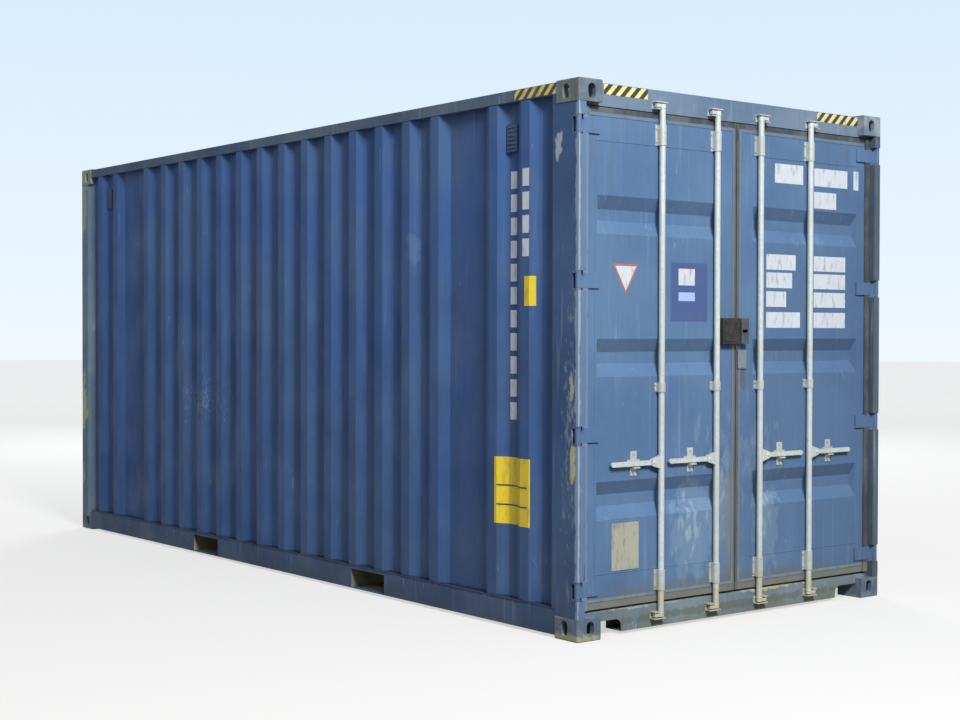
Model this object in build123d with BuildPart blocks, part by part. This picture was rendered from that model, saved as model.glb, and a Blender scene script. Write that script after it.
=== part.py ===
from build123d import *

import os
from math import atan, degrees

# A 20 foot high-cube steel shipping container with two hinged doors in one end.
# X runs along the length with the doors at +X, Y across the width, Z up from the ground.
# Left and right are those of someone who stands outside and faces the doors.
# Pieces of the right half (+Y) are drawn first, and the left half mirrors them.

# Overall size
length = 6058.0
width = 2438.0
height = 2896.0
casting_proud = 3.0

# Corner castings
casting_x = 178.0
casting_y = 162.0
casting_z = 118.0
casting_outer_wall = 28.5
casting_inner_wall = 12.0
casting_round = 12.0
casting_foot_round = 8.0
aperture_from_end = 102.5
aperture_from_side = 89.5
aperture_length = 124.0
aperture_width = 63.5
side_hole_height = 79.0
side_hole_width = 51.0
side_hole_from_face = 63.5

# Rear corner posts
post_depth = 203.0
post_rear_face = 51.0
post_inner_depth = 73.0
post_wall = 6.0
post_web = 12.0
door_recess = 42.0

# Hinges
hinge_count = 4
hinge_from_leaf_end = 76.5
hinge_pin_from_side = 16.0
hinge_pin_from_end = 19.0
hinge_pin_radius = 8.0
hinge_bore_gap = 0.3
hinge_eye_radius = 15.0
hinge_blade_height = 75.0
hinge_blade_thickness = 10.0
hinge_blade_reach = 163.0
hinge_lug_thickness = 12.0
hinge_side_gap = 1.0
hinge_notch_depth = 48.0

# Front corner posts
front_post_side_face = 106.0
front_post_end_face = 116.0
front_post_tip = 20.0
front_post_land = 20.0

# Rails
top_rail_size = 60.0
top_rail_drop = 8.0
rail_wall = 4.0
bottom_rail_bottom = 17.0
bottom_rail_top = 155.0
bottom_rail_flange = 48.0
bottom_rail_wall = 5.0
front_top_rail_height = 110.0
front_bottom_rail_height = 155.0
front_rail_depth = 60.0

# Door end
header_height = 120.0
header_depth = 120.0
header_wall = 5.0
sill_top = 146.0
sill_slope = 12.0
sill_depth = 120.0
sill_wall = 6.0
sill_notch_length = 187.0
sill_notch_top = 85.0
sill_notch_round = 40.0

# Side and front sheets
sheet = 2.0
rib_face = 72.0
rib_slope = 68.0
rib_depth = 36.0
rib_pitch = 282.0
wide_step = 535.0
end_step = 273.0
front_rib_margin = 167.0
rear_rib_margin = 225.0
front_rib_face = 110.0
front_rib_slope = 18.0
front_rib_pitch = 250.0
front_rib_depth = 45.6
front_wall_margin = 182.0
front_sheet_recess = 14.0

# Vents
vent_width = 84.0
vent_foot_width = 60.0
vent_height = 150.0
vent_depth = 16.0
vent_lip = 7.0
vent_drop = 189.0

# Roof
roof_drop = 14.0
roof_rib_pitch = 209.0
roof_rib_face = 91.0
roof_rib_slope = 14.0
roof_rib_depth = 20.0
roof_rib_margin = 90.0
roof_end_margin = 302.5

# Floor and underframe
floor_top = 172.0
floor_thickness = 28.0
floor_side_gap = 2.0
floor_end_gap = 9.0
cross_member_flange = 45.0
cross_member_wall = 4.0
cross_member_pitch = 285.0
pocket_spread = 2050.0
pocket_centre_x = 80.0
pocket_width = 360.0
pocket_height = 115.0
pocket_wall = 6.0
pocket_strap = 200.0

# Doors
door_thickness = 55.0
door_edge_centre = 17.0
door_hinge_gap = 23.0
door_bottom_gap = 39.0
door_top_gap = 33.0
stile_centre = 105.0
stile_hinge = 55.0
door_rail = 145.0
door_frame_wall = 4.0
valley_spread = 0.293
valley_from_panel_edge = 14.0
valley_height = 200.0
valley_slope = 70.0
valley_end_slope = 16.0
valley_depth = 36.0

# Door gaskets
gasket_centre_gap = 4.0
gasket_frame_gap = 5.0
gasket_back_gap = 5.0
gasket_lip_front = 9.0
gasket_lip_thickness = 4.0
gasket_lip_reach = 38.0
gasket_blade_gap = 1.0

# Locking bars
bar_inner_y = 177.0
bar_outer_from_side = 617.0
bar_radius = 17.0
bar_bore_radius = 13.0
bar_stand_off = 22.5
bar_bottom = 70.0
bar_top_drop = 76.0
collar_radius = 18.0
collar_height = 22.0
cam_reach = 52.0
cam_thickness = 18.0
cam_width = 20.0
bracket_wall = 4.2
bracket_bore_gap = 0.4
bracket_flange = 34.0
bracket_plate = 4.0
bracket_height = 110.0
bracket_from_bottom = 82.0
bracket_from_top = 88.0
guide_height = 50.0
guide_share = 0.437

# Keepers
keeper_plate = 3.0
keeper_ear = 6.0
keeper_ear_depth = 38.0
keeper_gap = 6.0
keeper_back_reach = 26.0
keeper_side_gap = 5.0
keeper_reach = 60.0

# Handles
handle_z = 900.0
handle_share = 0.86
handle_height = 26.0
handle_thickness = 9.0
handle_pivot_reach = 60.0
handle_pin_radius = 6.0
handle_pin_gap = 0.3
handle_eye_radius = 13.0
hub_height = 78.0
hub_tip_height = 34.0
hub_reach = 75.0
hub_plate = 4.0
hub_side_gap = 2.5

# Handle catches
catch_share = 0.44
catch_width = 45.0
catch_height = 130.0
catch_plate = 4.0
catch_arm_width = 90.0
catch_arm_height = 40.0
catch_ledge = 8.0
catch_ledge_depth = 32.0
catch_gap = 5.0

# Lock box
lock_bottom = 1531.0
lock_top = 1674.0
lock_depth = 38.0
lock_wall = 4.0
lock_right_start = 6.0
lock_right_end = 66.0
lock_left_start = 12.0
lock_left_end = 145.0
lock_slot_height = 18.0
lock_slot_length = 44.0

# Planes and edges that several pieces share
half_length = length / 2
half_width = width / 2
frame_x = half_length - casting_proud
frame_y = half_width - casting_proud
casting_inner_x = half_length - casting_x
casting_inner_y = half_width - casting_y
post_bottom = casting_z
post_top = height - casting_z
rear_post_x = frame_x - post_depth
rear_post_inner_y = frame_y - post_inner_depth
rear_leg_y = frame_y - post_rear_face
skin_x = frame_x - door_recess
notch_x = frame_x - hinge_notch_depth
pin_x = half_length - hinge_pin_from_end
pin_y = half_width - hinge_pin_from_side
valley_y = frame_y - rib_depth
front_sheet_x = -frame_x + front_sheet_recess
front_post_step_x = -frame_x + front_post_side_face
front_post_tip_x = -casting_inner_x
front_post_end_y = frame_y - front_post_end_face
front_post_inner_y = casting_inner_y
top_rail_top = height - top_rail_drop
top_rail_bottom = top_rail_top - top_rail_size
header_bottom = top_rail_top - header_height
floor_bottom = floor_top - floor_thickness
roof_top = height - roof_drop
leaf_back_x = skin_x - door_thickness
door_edge_hinge = rear_post_inner_y - door_hinge_gap
door_bottom = sill_top + door_bottom_gap
door_top = header_bottom - door_top_gap
leaf_height = door_top - door_bottom
hinge_step = (leaf_height - 2 * hinge_from_leaf_end) / (hinge_count - 1)
hinge_heights = [door_bottom + hinge_from_leaf_end + hinge_step * i for i in range(hinge_count)]
bar_offsets = (bar_inner_y, half_width - bar_outer_from_side)
bar_top = top_rail_top - bar_top_drop
handle_length = handle_share * (bar_offsets[1] - bar_offsets[0])
catch_reach = catch_share * (bar_offsets[1] - bar_offsets[0])
bar_x = skin_x + bar_stand_off
pocket_top = bottom_rail_bottom + bottom_rail_wall + pocket_height
bottom_rail_inner_y = frame_y - bottom_rail_wall
floor_edge_y = frame_y - bottom_rail_flange - floor_side_gap


def save(part, name):
    """Labels a finished piece and writes it as a STEP file of its own."""
    part.label = name
    export_step(part, f"parts/{name}.step")


def mirrored(part, plane):
    """The same piece on the other side of a plane, each solid still apart."""
    return Compound([mirror(solid, about=plane, mode=Mode.PRIVATE).solid() for solid in part.solids()])


def block(x_range, y_range, z_range, mode=Mode.ADD):
    """A box between three pairs of coordinates, in the part block that is open."""
    sizes = [high - low for low, high in (x_range, y_range, z_range)]
    middle = [(high + low) / 2 for low, high in (x_range, y_range, z_range)]
    with Locations(tuple(middle)):
        Box(*sizes, mode=mode)


# Corner castings


def corner_casting():
    """The hollow casting at the right bottom rear corner, with its three apertures."""
    aperture_x = half_length - aperture_from_end
    aperture_y = half_width - aperture_from_side
    with BuildPart() as casting:
        block((casting_inner_x, half_length), (casting_inner_y, half_width), (0, casting_z))
        outer = casting.edges().filter_by(Axis.Z).sort_by(Axis.X).group_by(Axis.X)[-1]
        fillet(outer.sort_by(Axis.Y)[-1], casting_round)
        outer_faces = [casting.faces().sort_by(axis)[-1] for axis in (Axis.X, Axis.Y)]
        foot = casting.faces().sort_by(Axis.Z)[0].edges()
        fillet([edge for face in outer_faces for edge in face.edges() if edge in foot], casting_foot_round)
        block(
            (casting_inner_x + casting_inner_wall, half_length - casting_outer_wall),
            (casting_inner_y + casting_inner_wall, half_width - casting_outer_wall),
            (casting_outer_wall, casting_z - casting_inner_wall),
            Mode.SUBTRACT,
        )
        with BuildSketch():
            with Locations((aperture_x, aperture_y)):
                SlotOverall(aperture_length, aperture_width)
        extrude(amount=casting_z / 2, mode=Mode.SUBTRACT)
        with BuildSketch(Plane.XZ.offset(-half_width)):
            with Locations((aperture_x, side_hole_from_face)):
                SlotOverall(side_hole_height, side_hole_width, rotation=90)
        extrude(amount=casting_y / 2, mode=Mode.SUBTRACT)
        with BuildSketch(Plane.YZ.offset(half_length)):
            with Locations((aperture_y, side_hole_from_face)):
                SlotOverall(side_hole_height, side_hole_width, rotation=90)
        extrude(amount=-casting_x / 2, mode=Mode.SUBTRACT)
    return casting.part


def bottom_castings():
    """The four castings under the corners."""
    with BuildPart() as castings:
        add(corner_casting())
        mirror(about=Plane.XZ)
        mirror(about=Plane.YZ)
    return castings.part


# Corner posts


def rear_post():
    """The right rear post: a closed side section and a hollow leg beside the door."""
    with BuildPart() as post:
        with BuildSketch(Plane.XY.offset(post_bottom)):
            with BuildLine():
                Polyline(
                    (rear_post_x, frame_y),
                    (frame_x, frame_y),
                    (frame_x, rear_leg_y),
                    (skin_x, rear_leg_y),
                    (skin_x, rear_post_inner_y),
                    (rear_post_x, rear_post_inner_y),
                    close=True,
                )
            make_face()
            with BuildLine():
                Polyline(
                    (rear_post_x + post_wall, frame_y - post_wall),
                    (notch_x - post_web, frame_y - post_wall),
                    (notch_x - post_web, rear_post_inner_y + post_wall),
                    (rear_post_x + post_wall, rear_post_inner_y + post_wall),
                    close=True,
                )
            make_face(mode=Mode.SUBTRACT)
            with BuildLine():
                Polyline(
                    (notch_x, frame_y - post_wall),
                    (frame_x - post_wall, frame_y - post_wall),
                    (frame_x - post_wall, rear_leg_y + post_wall),
                    (notch_x, rear_leg_y + post_wall),
                    close=True,
                )
            make_face(mode=Mode.SUBTRACT)
        extrude(amount=top_rail_bottom - post_bottom)
        notch_half = hinge_blade_height / 2 + hinge_side_gap + hinge_lug_thickness
        for z in hinge_heights:
            block(
                (notch_x, half_length),
                (rear_leg_y, half_width),
                (z - notch_half, z + notch_half),
                Mode.SUBTRACT,
            )
        block(
            (rear_post_x, casting_inner_x),
            (rear_post_inner_y, half_width),
            (post_bottom, bottom_rail_top),
            Mode.SUBTRACT,
        )
        block(
            (casting_inner_x, half_length),
            (rear_post_inner_y, half_width),
            (post_top, top_rail_bottom),
            Mode.SUBTRACT,
        )
    return post.part


def front_post():
    """The right front post: one folded hollow section with a slanted step on each face."""
    with BuildPart() as post:
        with BuildSketch(Plane.XY.offset(post_bottom)):
            with BuildLine():
                Polyline(
                    (front_post_tip_x, valley_y),
                    (front_post_step_x, frame_y),
                    (-frame_x, frame_y),
                    (-frame_x, front_post_end_y),
                    (front_sheet_x, front_post_inner_y + front_post_land),
                    (front_sheet_x, front_post_inner_y),
                    (front_sheet_x + front_post_tip, front_post_inner_y),
                    (front_post_tip_x, valley_y - front_post_tip),
                    close=True,
                )
            make_face()
            offset(amount=-post_wall, mode=Mode.SUBTRACT)
        extrude(amount=post_top - post_bottom)
    return post.part


# Hinges on the posts


def hinge_lugs():
    """Eight pairs of lugs, each joined by its pin, seated in the notches of the rear posts."""
    inner = hinge_blade_height / 2 + hinge_side_gap
    with BuildPart() as lugs:
        for z in hinge_heights:
            for low in (z - inner - hinge_lug_thickness, z + inner):
                with BuildSketch(Plane.XY.offset(low)):
                    with Locations((pin_x, pin_y)):
                        Circle(hinge_eye_radius)
                    with BuildLine():
                        Polyline(
                            (notch_x, rear_leg_y),
                            (notch_x, frame_y),
                            (pin_x, pin_y + hinge_eye_radius),
                            (pin_x, pin_y - hinge_eye_radius),
                            (skin_x, rear_leg_y),
                            close=True,
                        )
                    make_face()
                extrude(amount=hinge_lug_thickness)
            with Locations((pin_x, pin_y, z)):
                Cylinder(hinge_pin_radius, 2 * inner)
        mirror(about=Plane.XZ)
    return lugs.part


# Rails


def top_side_rail():
    """The right top rail, a square tube between the top castings."""
    with BuildPart() as rail:
        with BuildSketch(Plane.YZ.offset(-casting_inner_x)):
            with Locations((frame_y - top_rail_size / 2, top_rail_top - top_rail_size / 2)):
                Rectangle(top_rail_size, top_rail_size)
            offset(amount=-rail_wall, mode=Mode.SUBTRACT)
        extrude(amount=2 * casting_inner_x)
    return rail.part


def bottom_side_rail():
    """The right bottom rail, a channel that opens inwards and is cut for the fork pockets."""
    flange_edge = frame_y - bottom_rail_flange
    with BuildPart() as rail:
        with BuildSketch(Plane.YZ.offset(-casting_inner_x)):
            with BuildLine():
                Polyline(
                    (flange_edge, bottom_rail_bottom),
                    (frame_y, bottom_rail_bottom),
                    (frame_y, bottom_rail_top),
                    (flange_edge, bottom_rail_top),
                    (flange_edge, bottom_rail_top - bottom_rail_wall),
                    (bottom_rail_inner_y, bottom_rail_top - bottom_rail_wall),
                    (bottom_rail_inner_y, bottom_rail_bottom + bottom_rail_wall),
                    (flange_edge, bottom_rail_bottom + bottom_rail_wall),
                    close=True,
                )
            make_face()
        extrude(amount=2 * casting_inner_x)
        for x in pocket_centres():
            block(
                (x - pocket_width / 2, x + pocket_width / 2),
                (bottom_rail_inner_y, frame_y),
                (bottom_rail_bottom + bottom_rail_wall, pocket_top),
                Mode.SUBTRACT,
            )
    return rail.part


def pocket_centres():
    """Where the two fork pockets stand along the length, front one first."""
    return (pocket_centre_x - pocket_spread / 2, pocket_centre_x + pocket_spread / 2)


def door_header():
    """The beam over the doors: a box section with a flange that runs over the posts' tops."""
    with BuildPart() as header:
        with BuildSketch(Plane.XZ.offset(-rear_post_inner_y)):
            with Locations((skin_x - header_depth / 2, (header_bottom + top_rail_top) / 2)):
                Rectangle(header_depth, top_rail_top - header_bottom)
            offset(amount=-header_wall, mode=Mode.SUBTRACT)
        extrude(amount=2 * rear_post_inner_y)
        for y_range in ((casting_inner_y, half_width), (-half_width, -casting_inner_y)):
            block((casting_inner_x, half_length), y_range, (post_top, height), Mode.SUBTRACT)
    return header.part


def door_sill():
    """The beam under the doors, with a sloped top and a round-ended notch beside each casting."""
    back = skin_x - sill_depth
    step_x = leaf_back_x - floor_end_gap
    notch_height = sill_notch_top - bottom_rail_bottom
    notch_y = casting_inner_y - sill_notch_length / 2
    with BuildPart() as sill:
        with BuildSketch(Plane.XZ.offset(-rear_post_inner_y)):
            with BuildLine():
                Polyline(
                    (back, bottom_rail_bottom),
                    (skin_x, bottom_rail_bottom),
                    (skin_x, sill_top - sill_slope),
                    (leaf_back_x, sill_top),
                    (step_x, sill_top),
                    (step_x, floor_top),
                    (back, floor_top),
                    close=True,
                )
            make_face()
            offset(amount=-sill_wall, mode=Mode.SUBTRACT)
        extrude(amount=2 * rear_post_inner_y)
        for y_range in ((casting_inner_y, half_width), (-half_width, -casting_inner_y)):
            block((casting_inner_x, half_length), y_range, (0, casting_z), Mode.SUBTRACT)
        with BuildSketch(Plane.YZ.offset(skin_x)):
            notch_z = sill_notch_top - notch_height
            with Locations((notch_y, notch_z), (-notch_y, notch_z)):
                Rectangle(sill_notch_length, 2 * notch_height)
            inner_corners = vertices().group_by(Axis.X)[1] + vertices().group_by(Axis.X)[2]
            fillet(inner_corners, sill_notch_round)
        extrude(amount=-sill_depth, mode=Mode.SUBTRACT)
    return sill.part


def front_top_rail():
    """The rail over the front sheet."""
    with BuildPart() as rail:
        with BuildSketch(Plane.XZ.offset(-casting_inner_y)):
            with Locations((-frame_x + front_rail_depth / 2, top_rail_top - front_top_rail_height / 2)):
                Rectangle(front_rail_depth, front_top_rail_height)
            offset(amount=-rail_wall, mode=Mode.SUBTRACT)
        extrude(amount=2 * casting_inner_y)
    return rail.part


def front_bottom_rail():
    """The rail under the front sheet."""
    bottom = bottom_rail_bottom
    with BuildPart() as rail:
        with BuildSketch(Plane.XZ.offset(-casting_inner_y)):
            with Locations((-frame_x + front_rail_depth / 2, (bottom + front_bottom_rail_height) / 2)):
                Rectangle(front_rail_depth, front_bottom_rail_height - bottom)
            offset(amount=-rail_wall, mode=Mode.SUBTRACT)
        extrude(amount=2 * casting_inner_y)
    return rail.part


# Sheets


def even_places(start, end, pitch):
    """Places from start to end, in equal steps as near to the pitch as they come."""
    steps = round((end - start) / pitch)
    return [start + (end - start) * i / steps for i in range(steps + 1)]


def side_rib_centres():
    """Rib centres along a side, from the front: two end ribs, the regular run, two end ribs."""
    first = front_post_tip_x + front_rib_margin
    last = rear_post_x - rear_rib_margin
    run = even_places(first + end_step + wide_step, last - end_step - wide_step, rib_pitch)
    return [first, first + end_step] + run + [last - end_step, last]


def side_wall():
    """The right side sheet, pressed into upright ribs, between the posts and the rails."""
    outline = [(front_post_tip_x, valley_y)]
    for x in side_rib_centres():
        outline.append((x - rib_face / 2 - rib_slope, valley_y))
        outline.append((x - rib_face / 2, frame_y))
        outline.append((x + rib_face / 2, frame_y))
        outline.append((x + rib_face / 2 + rib_slope, valley_y))
    outline.append((rear_post_x, valley_y))
    back = [(x, y - sheet) for x, y in reversed(outline)]
    with BuildPart() as wall:
        with BuildSketch(Plane.XY.offset(bottom_rail_top)):
            with BuildLine():
                Polyline(*outline, *back, close=True)
            make_face()
        extrude(amount=top_rail_bottom - bottom_rail_top)
    return wall.part


def front_wall():
    """The front sheet, pressed into deep upright ribs, between the front posts and rails."""
    inner_x = front_sheet_x + front_rib_depth
    last = front_post_inner_y - front_wall_margin
    outline = [(front_sheet_x, -front_post_inner_y)]
    for y in even_places(-last, last, front_rib_pitch):
        outline.append((front_sheet_x, y - front_rib_face / 2 - front_rib_slope))
        outline.append((inner_x, y - front_rib_face / 2))
        outline.append((inner_x, y + front_rib_face / 2))
        outline.append((front_sheet_x, y + front_rib_face / 2 + front_rib_slope))
    outline.append((front_sheet_x, front_post_inner_y))
    back = [(x + sheet, y) for x, y in reversed(outline)]
    with BuildPart() as wall:
        with BuildSketch(Plane.XY.offset(front_bottom_rail_height)):
            with BuildLine():
                Polyline(*outline, *back, close=True)
            make_face()
        extrude(amount=top_rail_top - front_top_rail_height - front_bottom_rail_height)
    return wall.part


def roof():
    """The roof sheet, with a pattern of closed cross ribs stamped downwards."""
    edge_y = frame_y - top_rail_size
    front_x = -frame_x + front_rail_depth
    rear_x = skin_x - header_depth
    rib_places = even_places(front_x + roof_end_margin, rear_x - roof_end_margin, roof_rib_pitch)
    rib_length = 2 * (edge_y - roof_rib_margin)
    foot = roof_rib_face + 2 * roof_rib_slope
    taper = degrees(atan(roof_rib_slope / roof_rib_depth))
    with BuildPart() as panel:
        block((front_x, rear_x), (-edge_y, edge_y), (roof_top - sheet, roof_top))
        with BuildSketch(Plane.XY.offset(roof_top)):
            with Locations([(x, 0) for x in rib_places]):
                Rectangle(foot + 2 * sheet, rib_length + 2 * sheet)
        extrude(amount=-roof_rib_depth - sheet, taper=taper)
        with BuildSketch(Plane.XY.offset(roof_top)):
            with Locations([(x, 0) for x in rib_places]):
                Rectangle(foot, rib_length)
        extrude(amount=-roof_rib_depth, taper=taper, mode=Mode.SUBTRACT)
        for x_range in ((casting_inner_x, half_length), (-half_length, -casting_inner_x)):
            for y_range in ((casting_inner_y, half_width), (-half_width, -casting_inner_y)):
                block(x_range, y_range, (post_top, height), Mode.SUBTRACT)
    return panel.part


def vents():
    """Four flared vent covers, on the recessed flats beside the end ribs of each side."""
    centres = side_rib_centres()
    bottom = top_rail_bottom - vent_drop - vent_height / 2
    with BuildPart() as covers:
        for x in ((centres[0] + centres[1]) / 2, (centres[-1] + centres[-2]) / 2):
            with BuildSketch(Plane.XY.offset(bottom)):
                with BuildLine():
                    Polyline(
                        (x - vent_foot_width / 2, valley_y),
                        (x - vent_width / 2, valley_y + vent_depth - vent_lip),
                        (x - vent_width / 2, valley_y + vent_depth),
                        (x + vent_width / 2, valley_y + vent_depth),
                        (x + vent_width / 2, valley_y + vent_depth - vent_lip),
                        (x + vent_foot_width / 2, valley_y),
                        close=True,
                    )
                make_face()
            extrude(amount=vent_height)
        mirror(about=Plane.XZ)
    return covers.part


# Floor and underframe


def floor():
    """The plywood floor, between the front sheet and the doors."""
    with BuildPart() as boards:
        block(
            (front_sheet_x + front_rib_depth + sheet, skin_x - sill_depth),
            (-floor_edge_y, floor_edge_y),
            (floor_bottom, floor_top),
        )
        for side in (-1, 1):
            front_corner = sorted((side * front_post_inner_y, side * half_width))
            rear_corner = sorted((side * rear_post_inner_y, side * half_width))
            block((-half_length, front_post_tip_x), front_corner, (0, height), Mode.SUBTRACT)
            block((rear_post_x, half_length), rear_corner, (0, height), Mode.SUBTRACT)
    return boards.part


def cross_member_places():
    """Where cross members stand: an even pitch, without those that a fork pocket takes."""
    front_x = -frame_x + front_rail_depth
    rear_x = skin_x - sill_depth
    count = int((rear_x - front_x) // cross_member_pitch)
    step = (rear_x - front_x) / (count + 1)
    clear = pocket_width / 2 + pocket_wall + cross_member_flange
    places = [front_x + step * (i + 1) for i in range(count)]
    return [x for x in places if all(abs(x - centre) > clear for centre in pocket_centres())]


def cross_members():
    """The channels that carry the floor, from rail to rail."""
    low = bottom_rail_bottom + bottom_rail_wall
    with BuildPart() as members:
        for x in cross_member_places():
            with BuildSketch(Plane.XZ.offset(-bottom_rail_inner_y)):
                with BuildLine():
                    Polyline(
                        (x, low),
                        (x + cross_member_flange, low),
                        (x + cross_member_flange, low + cross_member_wall),
                        (x + cross_member_wall, low + cross_member_wall),
                        (x + cross_member_wall, floor_bottom - cross_member_wall),
                        (x + cross_member_flange, floor_bottom - cross_member_wall),
                        (x + cross_member_flange, floor_bottom),
                        (x, floor_bottom),
                        close=True,
                    )
                make_face()
            extrude(amount=2 * bottom_rail_inner_y)
    return members.part


def fork_pocket(x):
    """One fork pocket: a folded channel over the forks, with a strap under it at each end."""
    low = bottom_rail_bottom + bottom_rail_wall
    flange_edge = frame_y - bottom_rail_flange
    half = pocket_width / 2
    with BuildPart() as pocket:
        with BuildSketch(Plane.XZ.offset(-bottom_rail_inner_y)):
            with BuildLine():
                Polyline(
                    (x - half - pocket_wall, low),
                    (x - half, low),
                    (x - half, pocket_top),
                    (x + half, pocket_top),
                    (x + half, low),
                    (x + half + pocket_wall, low),
                    (x + half + pocket_wall, floor_bottom),
                    (x - half - pocket_wall, floor_bottom),
                    close=True,
                )
            make_face()
        extrude(amount=2 * bottom_rail_inner_y)
        for side in (-1, 1):
            y_range = sorted((side * flange_edge, side * (flange_edge - pocket_strap)))
            block((x - half - pocket_wall, x + half + pocket_wall), y_range, (bottom_rail_bottom, low))
    return pocket.part


# Doors


def door_frame():
    """The right leaf's hollow frame, with its four hinge blades and eyes."""
    middle_y = (door_edge_centre + door_edge_hinge) / 2
    middle_z = (door_bottom + door_top) / 2
    panel_y = (door_edge_centre + stile_centre + door_edge_hinge - stile_hinge) / 2
    leaf_width = door_edge_hinge - door_edge_centre
    panel_width = leaf_width - stile_centre - stile_hinge
    panel_height = leaf_height - 2 * door_rail
    wall = door_frame_wall
    with BuildPart() as frame:
        with BuildSketch(Plane.YZ.offset(leaf_back_x)):
            with Locations((middle_y, middle_z)):
                Rectangle(leaf_width, leaf_height)
            with Locations((panel_y, middle_z)):
                Rectangle(panel_width, panel_height, mode=Mode.SUBTRACT)
        extrude(amount=door_thickness)
        with BuildSketch(Plane.YZ.offset(leaf_back_x + wall)):
            with Locations((middle_y, middle_z)):
                Rectangle(leaf_width - 2 * wall, leaf_height - 2 * wall)
            with Locations((panel_y, middle_z)):
                Rectangle(panel_width + 2 * wall, panel_height + 2 * wall, mode=Mode.SUBTRACT)
        extrude(amount=door_thickness - 2 * wall, mode=Mode.SUBTRACT)
        for z in hinge_heights:
            with BuildSketch(Plane.XY.offset(z - hinge_blade_height / 2)):
                with BuildLine():
                    Polyline(
                        (skin_x, pin_y - hinge_blade_reach),
                        (skin_x, pin_y),
                        (pin_x, pin_y),
                        (pin_x, pin_y - hinge_eye_radius),
                        (skin_x + hinge_blade_thickness, pin_y - hinge_eye_radius - hinge_blade_thickness),
                        (skin_x + hinge_blade_thickness, pin_y - hinge_blade_reach),
                        close=True,
                    )
                make_face()
                with Locations((pin_x, pin_y)):
                    Circle(hinge_eye_radius)
                    Circle(hinge_pin_radius + hinge_bore_gap, mode=Mode.SUBTRACT)
            extrude(amount=hinge_blade_height)
    return frame.part


def door_panel():
    """The right leaf's sheet, with three closed valleys pressed into it."""
    low_y = door_edge_centre + stile_centre
    high_y = door_edge_hinge - stile_hinge
    valley_length = high_y - low_y - 2 * valley_from_panel_edge
    middle_y = (low_y + high_y) / 2
    middle_z = (door_bottom + door_top) / 2
    places = [(middle_y, middle_z + valley_spread * leaf_height * i) for i in (-1, 0, 1)]
    with BuildPart() as panel:
        block((skin_x - sheet, skin_x), (low_y, high_y), (door_bottom + door_rail, door_top - door_rail))
        for grown, mode in ((sheet, Mode.ADD), (0, Mode.SUBTRACT)):
            for place in places:
                with BuildSketch(Plane.YZ.offset(skin_x)):
                    with Locations(place):
                        Rectangle(valley_length + 2 * grown, valley_height + 2 * grown)
                with BuildSketch(Plane.YZ.offset(skin_x - valley_depth - grown)):
                    with Locations(place):
                        Rectangle(
                            valley_length - 2 * valley_end_slope + 2 * grown,
                            valley_height - 2 * valley_slope + 2 * grown,
                        )
                loft(mode=mode)
    return panel.part


def door_gasket():
    """The right leaf's rubber seal, with a lip over the post and gaps for the hinge blades."""
    low_y = gasket_centre_gap
    high_y = rear_post_inner_y - gasket_frame_gap
    low_z = sill_top + gasket_frame_gap
    high_z = header_bottom - gasket_frame_gap
    back = leaf_back_x + gasket_back_gap
    lip_x = skin_x + gasket_lip_front - gasket_lip_thickness
    with BuildPart() as gasket:
        with BuildSketch(Plane.YZ.offset(back)):
            with Locations(((low_y + high_y) / 2, (low_z + high_z) / 2)):
                Rectangle(high_y - low_y, high_z - low_z)
            with Locations(((door_edge_centre + door_edge_hinge) / 2, (door_bottom + door_top) / 2)):
                Rectangle(door_edge_hinge - door_edge_centre, door_top - door_bottom, mode=Mode.SUBTRACT)
        extrude(amount=skin_x - back)
        with BuildSketch(Plane.XY.offset(low_z)):
            with BuildLine():
                Polyline(
                    (skin_x, door_edge_hinge),
                    (skin_x + gasket_lip_front, door_edge_hinge),
                    (skin_x + gasket_lip_front, door_edge_hinge + gasket_lip_reach),
                    (lip_x, door_edge_hinge + gasket_lip_reach),
                    (lip_x, high_y),
                    (skin_x, high_y),
                    close=True,
                )
            make_face()
        extrude(amount=high_z - low_z)
        gap = hinge_blade_height / 2 + gasket_blade_gap
        for z in hinge_heights:
            block((skin_x, half_length), (door_edge_hinge, half_width), (z - gap, z + gap), Mode.SUBTRACT)
    return gasket.part


# Locking gear


def bar_brackets():
    """The right leaf's bearings: two long ones and a middle guide round each locking bar."""
    bearings = (
        (door_bottom + bracket_from_bottom, bracket_height),
        (door_bottom + guide_share * leaf_height, guide_height),
        (door_top - bracket_from_top, bracket_height),
    )
    with BuildPart() as brackets:
        for y in bar_offsets:
            for z, tall in bearings:
                with BuildSketch(Plane.XY.offset(z - tall / 2)):
                    outer = bar_radius + bracket_bore_gap + bracket_wall
                    with Locations((bar_x, y)):
                        Circle(outer)
                    with Locations(((skin_x + bar_x) / 2, y)):
                        Rectangle(bar_stand_off, 2 * outer)
                    with Locations((skin_x + bracket_plate / 2, y)):
                        Rectangle(bracket_plate, 2 * bracket_flange)
                    with Locations((bar_x, y)):
                        Circle(bar_radius + bracket_bore_gap, mode=Mode.SUBTRACT)
                extrude(amount=tall)
    return brackets.part


def bar_cam(y, low, collar_low):
    """The cam at one end of the bar at y, with the collar that is welded round the tube."""
    with BuildPart() as cam:
        with BuildSketch(Plane.XY.offset(collar_low)):
            with Locations((bar_x, y)):
                Circle(collar_radius)
        extrude(amount=collar_height)
        with BuildSketch(Plane.XY.offset(low)):
            with Locations((bar_x, y)):
                Rectangle(cam_width, cam_reach, align=(Align.CENTER, Align.MIN))
        extrude(amount=cam_thickness)
        with Locations((bar_x, y, (bar_bottom + bar_top) / 2)):
            Cylinder(bar_radius, bar_top - bar_bottom, mode=Mode.SUBTRACT)
    return cam.part


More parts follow.
